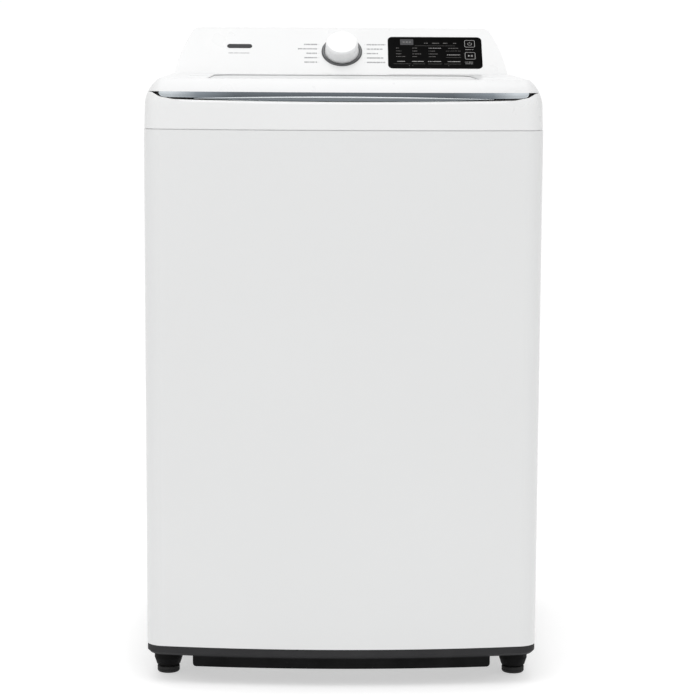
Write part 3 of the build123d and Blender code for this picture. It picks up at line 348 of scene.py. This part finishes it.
MATERIALS = {
    "enamel": painted("enamel", (0.73, 0.735, 0.735)),
    "moulding": moulded("moulding", (0.78, 0.783, 0.783)),
    # lid white: the moulding's white made darker as painted shade, to tone down the light on the lid's
    # upward-facing front
    "lid_white_shaded": moulded("lid_white_shaded", (0.745, 0.748, 0.75)),
    # knob white: the moulding's white made brighter as painted light, to lift the knob's shaded lower
    # side
    "knob_white_lit": moulded("knob_white_lit", (0.93, 0.935, 0.937), low=0.22, high=0.3),
    "black_base": base_plastic("black_base", (0.028, 0.028, 0.029), 0.052),
    "black_plastic": textured("black_plastic", (0.012, 0.012, 0.013)),
    "grey_plastic": moulded("grey_plastic", (0.30, 0.32, 0.34), 0.00008, 0.34, 0.5),
    "pale_plastic": moulded("pale_plastic", (0.66, 0.67, 0.66), 0.00008, 0.36, 0.52),
    "blue_plastic": moulded("blue_plastic", (0.16, 0.30, 0.52), 0.00008, 0.34, 0.5),
    "wash_plate": moulded("wash_plate", (0.62, 0.65, 0.68), 0.00004, 0.22, 0.34),
    "rubber": rubbery("rubber", (0.014, 0.014, 0.014)),
    "zinc": galvanised("zinc", (0.60, 0.62, 0.63)),
    "stainless": brushed("stainless", (0.66, 0.66, 0.67)),
    "chrome": polished("chrome", (0.60, 0.64, 0.68)),
    "ring_grey": polished("ring_grey", (0.13, 0.132, 0.135), 0.24, 0.36),
    # trim_metal and grip_metal carry satin_strip's painted shade, darker towards the middle
    "trim_metal": satin_strip("trim_metal", (0.125, 0.14, 0.155), (0.56, 0.60, 0.63), 0.312),
    "grip_metal": satin_strip("grip_metal", (0.19, 0.21, 0.225), (0.24, 0.25, 0.26), 0.40),
    "bead_metal": polished("bead_metal", (0.66, 0.69, 0.71), 0.14, 0.22),
    "black_pane": black_glass("black_pane"),
    "lid_pane": tinted_glass("lid_pane", (0.66, 0.71, 0.74)),
    "cast_hub": cast("cast_hub", (0.52, 0.53, 0.54)),
    "iron": cast("iron", (0.10, 0.10, 0.105)),
    "board": board("board"),
    "ink_grey": printed("ink_grey", (0.30, 0.30, 0.31)),
    "ink_dark": printed("ink_dark", (0.035, 0.035, 0.038)),
    "ink_pale": printed("ink_pale", (0.13, 0.125, 0.12)),
    "ink_bright": printed("ink_bright", (0.36, 0.355, 0.35)),
    "ink_border": printed("ink_border", (0.52, 0.53, 0.54)),
    "ink_screen": printed("ink_screen", (0.045, 0.045, 0.048)),
}
CAD_MATERIALS = {
    "enamel": ["cabinet_wrap"],
    "moulding": ["top_cover", "lid_liner", "console_front"],
    "lid_white_shaded": ["lid_frame"],
    "knob_white_lit": ["selector_knob"],
    "black_base": ["base_frame"],
    "black_plastic": ["display_housing"],
    "grey_plastic": [
        "dispenser_housing", "lid_lock", "suspension_cups", "basket_base", "balance_ring",
        "pump_impeller", "drain_spigot",
    ],
    "pale_plastic": [
        "outer_tub", "tub_cover", "drain_pump", "inlet_valve_hot", "main_board_case",
        "dispenser_drawer",
    ],
    "blue_plastic": ["inlet_valve_cold"],
    "wash_plate": ["pulsator"],
    "rubber": ["sump_boot", "drain_tube", "inlet_hoses", "power_cord_gland", "lid_bumpers"],
    "zinc": [
        "rear_panel", "rear_access_cover", "suspension_brackets", "suspension_rods",
        "console_back", "rotor",
    ],
    "stainless": [
        "wash_basket", "spin_tube", "drive_shaft", "hinge_pins", "lid_lock_bolt", "rotor_nut",
        "bearings",
    ],
    "chrome": ["pulsator_cap"],
    "ring_grey": ["selector_ring"],
    "black_pane": ["display_glass", "power_key", "start_pause_key"],
    "lid_pane": ["lid_glass"],
    "cast_hub": ["bearing_housing"],
    "iron": ["stator", "suspension_springs"],
    "board": ["display_board", "selector_encoder"],
}


def dress(obj, material):
    """Gives an object one material."""
    obj.data.materials.clear()
    obj.data.materials.append(MATERIALS[material])


for material, names in CAD_MATERIALS.items():
    for name in names:
        dress(NODES[name], material)


# ---------------------------------------------------------------- mesh helpers (millimetres)
def add_piece(name, build, material, body):
    """A piece whose mesh a function fills, dressed and riding on a body."""
    shape = bmesh.new()
    build(shape)
    bmesh.ops.recalc_face_normals(shape, faces=shape.faces)
    mesh = bpy.data.meshes.new(name)
    shape.to_mesh(mesh)
    shape.free()
    mesh.shade_smooth()
    mesh.set_sharp_from_angle(angle=math.radians(35))
    piece = bpy.data.objects.new(name, mesh)
    scene.collection.objects.link(piece)
    dress(piece, material)
    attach(piece, body)
    return piece


def place_at(origin, across, up, out):
    """The frame at a point in metres, for lengths in millimetres."""
    turn = Matrix((across, up, out)).transposed().to_4x4()
    return Matrix.Translation(origin) @ turn @ Matrix.Scale(MM, 4)


WORLD = Matrix.Scale(MM, 4)


def node_box(node):
    """A CAD node's lowest and highest corners in millimetres."""
    low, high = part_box(node)
    return Vector(low) / MM, Vector(high) / MM


def fascia_place(node, lift):
    """The fascia's frame over the middle of a node, lift millimetres above that middle."""
    low, high = node_box(node)
    middle = (low + high) / 2 * MM
    return place_at(middle + FASCIA_OUT * lift * MM, ACROSS, FASCIA_UP, FASCIA_OUT)


def skin(shape, rings, closed=False):
    """Faces between rings of points; the ends are capped, or joined when closed."""
    pairs = list(zip(rings, rings[1:]))
    if closed:
        pairs.append((rings[-1], rings[0]))
    for first, second in pairs:
        count = len(first)
        for i in range(count):
            shape.faces.new((first[i], first[(i + 1) % count], second[(i + 1) % count], second[i]))
    if not closed:
        shape.faces.new(rings[0])
        shape.faces.new(rings[-1])


def ring_of(shape, place, points):
    """New vertices at points given in the place's own frame."""
    return [shape.verts.new(place @ Vector(point)) for point in points]


def round_outline(width, height, radius, steps=5):
    """Points round a rectangle with round corners."""
    points = []
    corners = ((1, 1, 0), (-1, 1, 90), (-1, -1, 180), (1, -1, 270))
    for side_x, side_y, start in corners:
        for step in range(steps + 1):
            angle = math.radians(start + 90 * step / steps)
            x = side_x * (width / 2 - radius) + radius * math.cos(angle)
            points.append((x, side_y * (height / 2 - radius) + radius * math.sin(angle)))
    return points


def circle(radius, steps=32):
    """Points round a circle."""
    angles = [2 * math.pi * step / steps for step in range(steps)]
    return [(radius * math.cos(angle), radius * math.sin(angle)) for angle in angles]


def slab(shape, place, outline, low, high, bevel=0.0, shift=(0.0, 0.0)):
    """A flat solid on an outline, with an optional bevel round its upper edge."""
    across = max(abs(x) for x, _ in outline)
    along = max(abs(y) for _, y in outline)
    levels = [(low, 0.0), (high - bevel, 0.0)]
    if bevel:
        levels.append((high, bevel))
    rings = []
    for height, inset in levels:
        scale_x, scale_y = 1 - inset / across, 1 - inset / along
        points = [(x * scale_x + shift[0], y * scale_y + shift[1], height) for x, y in outline]
        rings.append(ring_of(shape, place, points))
    skin(shape, rings)


def frame_plate(shape, place, outer, inner, low, high, shift=(0.0, 0.0)):
    """A flat ring between two outlines of the same number of points."""
    loops = ((outer, low), (outer, high), (inner, high), (inner, low))
    rings = []
    for outline, height in loops:
        points = [(x + shift[0], y + shift[1], height) for x, y in outline]
        rings.append(ring_of(shape, place, points))
    skin(shape, rings, closed=True)


def lathe(shape, place, profile, steps=48, closed=False):
    """A solid of revolution about the frame's third axis, from (radius, height) points."""
    rings = []
    for radius, height in profile:
        points = [(x, y, height) for x, y in circle(radius, steps)]
        rings.append(ring_of(shape, place, points))
    skin(shape, rings, closed)


def ribbon(shape, place, path, width, low, high):
    """A flat strip of even width along a path of (x, y) points."""
    rings = []
    for i, point in enumerate(path):
        before, after = path[max(i - 1, 0)], path[min(i + 1, len(path) - 1)]
        along = (Vector(after) - Vector(before)).normalized()
        side = Vector((-along.y, along.x)) * width / 2
        left, right = Vector(point) + side, Vector(point) - side
        corners = ((*left, low), (*left, high), (*right, high), (*right, low))
        rings.append(ring_of(shape, place, corners))
    skin(shape, rings)


# ---------------------------------------------------------------- printing on the console
PRINT = 0.06  # thickness of the ink


def dashes(draw, start, end, y, height=1.5):
    """Plain dashes that stand for a printed word: (x, y, width, height) marks."""
    marks = []
    x = start
    while x < end - 0.6:
        width = min(draw.uniform(0.9, 2.6), end - x)
        marks.append((x + width / 2, y, width, height * draw.uniform(0.75, 1.0)))
        x += width + draw.choice((0.35, 0.35, 0.45, 1.1))
    return marks


def print_marks(name, place, marks, ink, body):
    """One piece that holds many small printed (x, y, width, height) marks."""

    def build(shape):
        for x, y, width, height in marks:
            outline = round_outline(width, height, min(width, height) * 0.3, 2)
            slab(shape, place, outline, 0, PRINT, shift=(x, y))

    return add_piece(name, build, ink, body)


def make_dial_labels():
    """Five programme names each side of the selector, each with a tick beside it."""
    draw = random.Random(11)
    place = place_at(JOINTS["selector_turn"]["pos_m"], ACROSS, FASCIA_UP, FASCIA_OUT)
    lefts = (72.9, 84.5, 68.0, 71.9, 71.9)  # how far out each name reaches
    rights = (84.1, 78.3, 70.5, 80.2, 83.1)
    top_row, row_step = 19.0, 11.9
    names, ticks = [], []
    for row, (left, right) in enumerate(zip(lefts, rights)):
        y = top_row - row_step * row
        names += dashes(draw, -left, -47.5, y, 3.8) + dashes(draw, 48.0, right, y, 3.8)
        ticks += [(-44.6, y, 1.8, 0.5), (44.4, y, 1.8, 0.5)]
    print_marks("dial_labels", place, names, "ink_grey", "cabinet")
    print_marks("dial_ticks", place, ticks, "ink_grey", "cabinet")


def make_badge():
    """A blank name plate on the left of the fascia, with a thin printed line under it."""
    middle = Vector(JOINTS["selector_turn"]["pos_m"]) - ACROSS * 0.197 + FASCIA_UP * 0.0135
    place = place_at(middle, ACROSS, FASCIA_UP, FASCIA_OUT)
    outline = round_outline(48.0, 10.5, 5.0, 6)

    def build(shape):
        slab(shape, place, outline, 0, 0.9, 0.35)

    add_piece("blank_badge", build, "ink_dark", "cabinet")
    marks = dashes(random.Random(5), -21, 20, -18.5, 2.2)
    print_marks("badge_line", place, marks, "ink_grey", "cabinet")


PANE_TOP = 1.5  # from the middle of the display's pane to its face
KEY_TOP = 1.7  # from the middle of a key to its face
COLUMNS = (-75.0, -43.5, -12.0)  # where the columns of settings start
COLUMN_ENDS = ((-69, -64, -65, -56), (-34, -34, -27, -35), (12, 1, 5, 1))
ROWS = (12.0, 4.1, -3.6, -10.8)  # heights of the settings
READOUT = (-54.0, 28.2)  # middle of the readout window


def make_display_print():
    """The pane's readout, its columns of settings, status icons and key captions."""
    draw = random.Random(23)
    place = fascia_place("display_glass", PANE_TOP)
    pale, bright = [], []
    for column, (start, ends) in enumerate(zip(COLUMNS, COLUMN_ENDS)):
        for row, (end, y) in enumerate(zip(ends, ROWS)):
            target = bright if column == 2 and row == 0 else pale
            target += dashes(draw, start, end, y, 1.6)
    pale += dashes(draw, 26, 45, 12.0, 1.6) + dashes(draw, 21, 50, 4.6, 0.7)
    bright += dashes(draw, 23, 49, -5.9, 1.8)
    pale += [(35.5, -12.8, 29, 0.4), (0, 18.4, 78, 0.35)]
    for low, high in ((-73, -58), (-45, -21), (-14, 11), (24, 49)):
        bright += dashes(draw, low, high, -23.8, 1.9)
    for low, high in ((-80, -47), (-43, -20), (-14, 13), (17, 50)):
        pale.append(((low + high) / 2, -30.4, high - low, 0.4))
    pale += [(x, -35.0, 1.4, 1.4) for x in (-50, -43.5, 25.5)]
    for low, high in ((-20.5, -13), (-5, 9), (16, 24.5), (35.5, 41.5)):
        pale += dashes(draw, low, high, 25.4, 2.2)
    for low, high, y in ((59, 75, 8.6), (57, 73, -25.0), (58, 72, -29.4)):
        bright += dashes(draw, low, high, y, 1.3)
    print_marks("display_small_print", place, pale, "ink_pale", "cabinet")
    print_marks("display_bright_print", place, bright, "ink_bright", "cabinet")


def make_readout():
    """The grey readout window in the pane, with three unlit digits' dashes."""
    place = fascia_place("display_glass", PANE_TOP)
    window = round_outline(25.5, 15.5, 0.8, 2)

    def build(shape):
        slab(shape, place, window, 0, PRINT, shift=READOUT)

    add_piece("readout_window", build, "ink_screen", "cabinet")
    raised = fascia_place("display_glass", PANE_TOP + PRINT)
    marks = [(READOUT[0] + step * 6.0, READOUT[1], 4.0, 1.1) for step in (-1, 0, 1)]
    print_marks("readout_digits", raised, marks, "ink_bright", "cabinet")


def key_outline(shape, place):
    """The thin printed frame round a key's symbol."""
    frame_plate(shape, place, round_outline(20.0, 19.0, 3.0), round_outline(18.4, 17.4, 2.3), 0, PRINT)


def make_power_symbol():
    """The outline and the broken circle on the power key."""
    place = fascia_place("power_key", KEY_TOP)
    arc = [
        (3.6 * math.sin(math.radians(angle)), 3.6 * math.cos(math.radians(angle)) - 0.4)
        for angle in range(35, 326, 10)
    ]

    def build(shape):
        key_outline(shape, place)
        ribbon(shape, place, arc, 0.8, 0, PRINT)
        ribbon(shape, place, [(0, 1.4), (0, 4.6)], 0.8, 0, PRINT)

    add_piece("power_symbol", build, "ink_bright", "power_button")


def make_start_symbol():
    """The outline, the triangle and the two bars on the start and pause key."""
    place = fascia_place("start_pause_key", KEY_TOP)
    triangle = [(-1.4, -2.4), (2.6, 0.0), (-1.4, 2.4)]

    def build(shape):
        key_outline(shape, place)
        slab(shape, place, triangle, 0, PRINT, shift=(-2.6, 0.0))
        for x in (2.2, 4.2):
            slab(shape, place, round_outline(1.0, 4.8, 0.2, 2), 0, PRINT, shift=(x, 0.0))

    add_piece("start_pause_symbol", build, "ink_bright", "start_pause_button")


# ---------------------------------------------------------------- lid trim and grip
def bowed_front(face_y, x):
    """Depth of the bowed front at x, where face_y is its depth in the middle."""
    return face_y + FRONT_BOW - math.sqrt(FRONT_BOW**2 - x**2)


def bowed_bar(shape, face_y, half, section, stations=96):
    """A bar that follows the bow; section(x) gives its (depth, height) points there."""
    rings = []
    for station in range(stations + 1):
        x = half * math.sin(math.pi * (station / stations - 0.5))
        y = bowed_front(face_y, x)
        rings.append(ring_of(shape, WORLD, [(x, y + depth, z) for depth, z in section(x)]))
    skin(shape, rings)


def arc_height(x, half, end_z, middle_z):
    """Height at x of a shallow arc that is end_z high at its ends."""
    return middle_z + (end_z - middle_z) * (x / half) ** 2


def make_trim():
    """The bright strip under the lid's lip: hollow-faced, with round lower corners."""
    low, high = node_box("lid_trim")
    half = high.x + 4  # the strip runs a little past the plain bar at each end
    corner = 12.0  # radius of the lower corners

    def section(x):
        foot = arc_height(x, half, low.z + 2.4, low.z)
        past = max(0.0, abs(x) - (half - corner)) / corner
        foot += (high.z - foot - 2.0) * (1 - math.sqrt(max(0.0, 1 - past**2)))
        tall = high.z - foot
        face = [(0.0, 1.0), (0.5, 0.85), (0.9, 0.6), (0.9, 0.4), (0.5, 0.15), (0.1, 0.04), (0.5, 0.0)]
        return [(depth, foot + share * tall) for depth, share in face] + [(2.4, foot), (2.4, high.z)]

    def build(shape):
        bowed_bar(shape, low.y, half - 0.2, section)

    trim = add_piece("lid_trim_strip", build, "trim_metal", "lid")
    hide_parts("lid_trim")


def make_grip():
    """The crescent grip: a swelling face in painted shade, with a bright bead along its upper edge."""
    low, high = node_box("lid_grip")
    half = high.x
    end_z = low.z + 3.9  # height of the crescent's pointed ends

    def section(x):
        foot = arc_height(x, half, end_z - 1.8, low.z - 1.2)
        head = arc_height(x, half, end_z - 0.8, high.z - 1.6)
        tall = head - foot
        swell = 1.6 * tall / (high.z - low.z)
        face = [(1.2, 1.0), (0.7, 0.85), (0.35, 0.6), (0.35, 0.4), (0.7, 0.15), (1.3, 0.0)]
        front = [(depth + 1.0 - swell * 0.6, foot + share * tall) for depth, share in face]
        return front + [(3.0, foot), (3.0, head)]

    def bead(x):
        centre = arc_height(x, half, end_z - 1.4, high.z - 2.9)
        radius = 0.35 + 1.15 * (1 - (x / half) ** 2)
        return [(1.5 + radius * px, centre + radius * pz) for px, pz in circle(1.0, 12)]

    def build_face(shape):
        bowed_bar(shape, low.y, half - 0.5, section)

    def build_bead(shape):
        bowed_bar(shape, low.y, half - 0.8, bead)

    grip = add_piece("lid_grip_face", build_face, "grip_metal", "lid")
    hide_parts("lid_grip")
    add_piece("lid_grip_bead", build_bead, "bead_metal", "lid")


def level_place(x, y, z):
    """The upright frame at a point in millimetres."""
    return place_at(Vector((x, y, z)) * MM, ACROSS, AWAY, UP)


def make_frit():
    """The pale border printed on the underside of the lid's glass."""
    low, high = node_box("lid_glass")
    middle = (low + high) / 2
    width, depth = high.x - low.x, high.y - low.y
    place = level_place(middle.x, middle.y, low.z)
    outer = round_outline(width - 25.0, depth - 25.0, 31.5, 8)
    inner = round_outline(width - 60.0, depth - 60.0, 18.0, 8)

    def build(shape):
        frame_plate(shape, place, outer, inner, -0.15, -0.03)

    add_piece("glass_border_print", build, "ink_border", "lid")


def make_seal():
    """The soft pale seal that fills the step between the glass and the lid's frame."""
    low, high = node_box("lid_glass")
    middle = (low + high) / 2
    width, depth = high.x - low.x, high.y - low.y
    place = level_place(middle.x, middle.y, high.z)
    outer = round_outline(width + 0.7, depth + 0.7, 44.3, 8)
    inner = round_outline(width - 5.0, depth - 5.0, 41.5, 8)

    def build(shape):
        frame_plate(shape, place, outer, inner, 0.05, 0.95)

    add_piece("glass_seal", build, "lid_white_shaded", "lid")


# ---------------------------------------------------------------- feet
def make_foot(corner):
    """A ribbed rubber pad, a lock nut and a threaded stud, in place of the plain foot."""
    low, high = node_box(f"foot_{corner}")
    middle = (low + high) / 2
    place = level_place(middle.x, middle.y, 0)
    outer = (high.x - low.x) / 2
    pad_top, pitch, body = 12.0, 1.25, f"foot_{corner}_body"
    pad = [
        (outer - 5, 0), (outer - 2.2, 0.5), (outer - 0.7, 1.8), (outer, 3.6), (outer, 5.4),
        (outer - 0.7, 5.8), (outer - 0.7, 6.6), (outer, 7.0), (outer, pad_top - 1.6),
        (outer - 0.5, pad_top - 0.5), (outer - 1.6, pad_top),
    ]
    thread = []
    turns = int((high.z - pad_top - 3) / pitch)
    for turn in range(turns):
        z = pad_top + 2.6 + turn * pitch
        thread += [(4.35, z), (4.95, z + 0.62)]

    def build_pad(shape):
        lathe(shape, place, pad, 56)

    def build_nut(shape):
        slab(shape, place, circle(10.8, 6), pad_top, pad_top + 2.4, 0.5)

    def build_stud(shape):
        lathe(shape, place, thread, 24)

    rubber = add_piece(f"foot_pad_{corner}", build_pad, "rubber", body)
    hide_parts(f"foot_{corner}")
    add_piece(f"foot_nut_{corner}", build_nut, "zinc", body)
    add_piece(f"foot_stud_{corner}", build_stud, "zinc", body)


# ---------------------------------------------------------------- back
def screw_places():
    """Middles of the screw heads, as lumps of the CAD node that stands for them."""
    mesh = NODES["back_screws"].data
    lumps = []
    for vertex in mesh.vertices:
        point = vertex.co / MM
        near = [lump for lump in lumps if (lump[0] - point).length < 12]
        if near:
            near[0][1].append(point)
        else:
            lumps.append((point, [point]))
    for _, points in lumps:
        spans = [[min(values), max(values)] for values in zip(*points)]
        yield (sum(spans[0]) / 2, spans[1][0], sum(spans[2]) / 2)


def cross_head(shape, place, turn):
    """A pan head with a cross-shaped recess."""
    steps = 32
    rings = []
    for radius, height in ((4.4, 0.0), (4.4, 0.9), (4.0, 1.6), (3.1, 2.15), (2.6, 2.3)):
        rings.append(ring_of(shape, place, [(x, y, height) for x, y in circle(radius, steps)]))
    for height, shrink in ((2.3, 1.0), (1.0, 0.72)):
        points = []
        for step in range(steps):
            angle = 2 * math.pi * step / steps
            arm = abs(math.cos(2 * (angle - turn))) ** 6
            radius = (0.75 + 1.45 * arm) * shrink
            points.append((radius * math.cos(angle), radius * math.sin(angle), height))
        rings.append(ring_of(shape, place, points))
    skin(shape, rings)


def make_screws():
    """Cross-head screws in place of the plain heads on the back."""
    draw = random.Random(3)

    def build(shape):
        for x, y, z in screw_places():
            place = place_at(Vector((x, y, z)) * MM, ACROSS, -UP, AWAY)
            cross_head(shape, place, draw.uniform(0, math.pi / 2))

    screws = add_piece("back_screw_heads", build, "zinc", "cabinet")
    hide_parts("back_screws")


# ---------------------------------------------------------------- drum
def make_lint_filters():
    """Two lint traps: a frame with a fine lattice, in place of the plain blocks."""
    low, high = node_box("lint_filters")
    middle_y, middle_z = (low.y + high.y) / 2, (low.z + high.z) / 2
    width, height = 108.0, 256.0  # just inside the plain block's 110 by 260
    outer, inner = round_outline(width, height, 12.0), round_outline(width - 22, height - 26, 6.0)
    reach = (high.x - low.x) / 2

    def build_frame(shape, place):
        frame_plate(shape, place, outer, inner, 0, 9)
        slab(shape, place, round_outline(width - 8, height - 8, 8.0), -6, 1)  # the back plate

    def build_lattice(shape, place):
        for step in range(-4, 5):
            slab(shape, place, round_outline(1.2, height - 24, 0.3, 1), 2, 5, shift=(step * 9.4, 0))
        for step in range(-12, 13):
            slab(shape, place, round_outline(width - 20, 1.2, 0.3, 1), 2.5, 5.5, shift=(0, step * 9.2))

    for side, label in ((-1, "left"), (1, "right")):
        origin = Vector((side * (reach - 13.0), middle_y, middle_z)) * MM
        place = place_at(origin, -side * AWAY, UP, -side * ACROSS)
        trap = add_piece(
            f"lint_trap_{label}", lambda shape: build_frame(shape, place), "blue_plastic",
            "basket",
        )
        add_piece(
            f"lint_lattice_{label}", lambda shape: build_lattice(shape, place), "pale_plastic",
            "basket",
        )
        if side == 1:
            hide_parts("lint_filters")


# ---------------------------------------------------------------- copies of what hangs between the cabinet and the tub
def make_stretching(node, name, material, slot, low, high):
    """A copy of a CAD node that hangs between the cabinet and the tub, in place of the node."""
    piece = bpy.data.objects.new(name, NODES[node].data.copy())
    scene.collection.objects.link(piece)
    dress(piece, material)
    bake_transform(piece)
    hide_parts(node)


def make_springs():
    """The four springs, squeezed between the rods' collars and the cups."""
    low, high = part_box("suspension_springs")
    make_stretching("suspension_springs", "tub_springs", "iron", "steel_dark", low[2], high[2])


def make_boot():
    """The rubber boot between the tub's sump and the pump."""
    make_stretching("sump_boot", "sump_bellows", "rubber", "black_rubber", *BELLOWS)


make_dial_labels()
make_badge()
make_display_print()
make_readout()
make_power_symbol()
make_start_symbol()
make_trim()
make_grip()
make_frit()
make_seal()
for corner in FEET:
    make_foot(corner)
make_screws()
make_lint_filters()
make_springs()
make_boot()


# ---------------------------------------------------------------- stage and light
def make_stage():
    """A plain white floor."""
    mesh = bpy.data.meshes.new("floor")
    sheet = bmesh.new()
    bmesh.ops.create_grid(sheet, x_segments=2, y_segments=2, size=30.0)
    sheet.to_mesh(mesh)
    sheet.free()
    floor = bpy.data.objects.new("floor", mesh)
    scene.collection.objects.link(floor)
    m = Shader("floor_white", Specular_IOR_Level=0.1, Emission_Strength=0.5)
    m.bsdf.inputs["Emission Color"].default_value = (1.0, 1.0, 1.0, 1.0)
    m.colour(m.ramp(m.noise(2.0, 2), (0.3, (0.60, 0.60, 0.60)), (0.7, (0.63, 0.63, 0.63))))
    m.roughness(m.span(m.noise(20.0, 3), 0.8, 0.9))
    floor.data.materials.append(m.material)


def make_lamp(name, place, aim, size, power):
    """A square soft lamp that faces a point."""
    light = bpy.data.lights.new(name, "AREA")
    light.size = size
    light.energy = power
    lamp = bpy.data.objects.new(name, light)
    lamp.location = place
    lamp.rotation_euler = (Vector(aim) - Vector(place)).to_track_quat("-Z", "Y").to_euler()
    scene.collection.objects.link(lamp)


def make_world():
    """A white studio whose side walls and near wall are less bright than the backdrop."""
    world = bpy.data.worlds.new("studio")
    world.use_nodes = True
    tree = world.node_tree
    background = tree.nodes["Background"]
    background.inputs["Color"].default_value = (1.0, 1.0, 1.0, 1.0)
    coordinates = tree.nodes.new("ShaderNodeTexCoord")
    split = tree.nodes.new("ShaderNodeSeparateXYZ")
    tree.links.new(coordinates.outputs["Generated"], split.inputs["Vector"])

    def fall(axis, operation, low, high, drop):
        """A loss of light between two values of a direction's component."""
        size = tree.nodes.new("ShaderNodeMath")
        size.operation = operation
        size.inputs[1].default_value = 0.0
        tree.links.new(split.outputs[axis], size.inputs[0])
        span = tree.nodes.new("ShaderNodeMapRange")
        for socket, value in (("From Min", low), ("From Max", high), ("To Min", 0.0), ("To Max", drop)):
            span.inputs[socket].default_value = value
        tree.links.new(size.outputs["Value"], span.inputs["Value"])
        return span.outputs["Result"]

    losses = (fall("X", "ABSOLUTE", 0.35, 0.9, SIDE_LOSS), fall("Y", "MINIMUM", -0.2, -0.9, NEAR_LOSS))
    level = None
    for loss in losses:
        step = tree.nodes.new("ShaderNodeMath")
        step.operation = "SUBTRACT"
        step.inputs[0].default_value = BACKDROP
        if level:
            tree.links.new(level, step.inputs[0])
        tree.links.new(loss, step.inputs[1])
        level = step.outputs["Value"]
    tree.links.new(level, background.inputs["Strength"])
    scene.world = world


make_stage()
make_lamp("overhead", (-0.3, -1.0, 3.7), (0, -0.2, 0.7), 2.8, 40)
make_lamp("left_fill", (-2.6, -1.6, 1.9), (0, -0.2, 0.8), 1.4, 4)
make_lamp("right_fill", (2.6, -1.6, 1.9), (0, -0.2, 0.8), 1.4, 3)
make_world()
scene.view_settings.view_transform = "Standard"
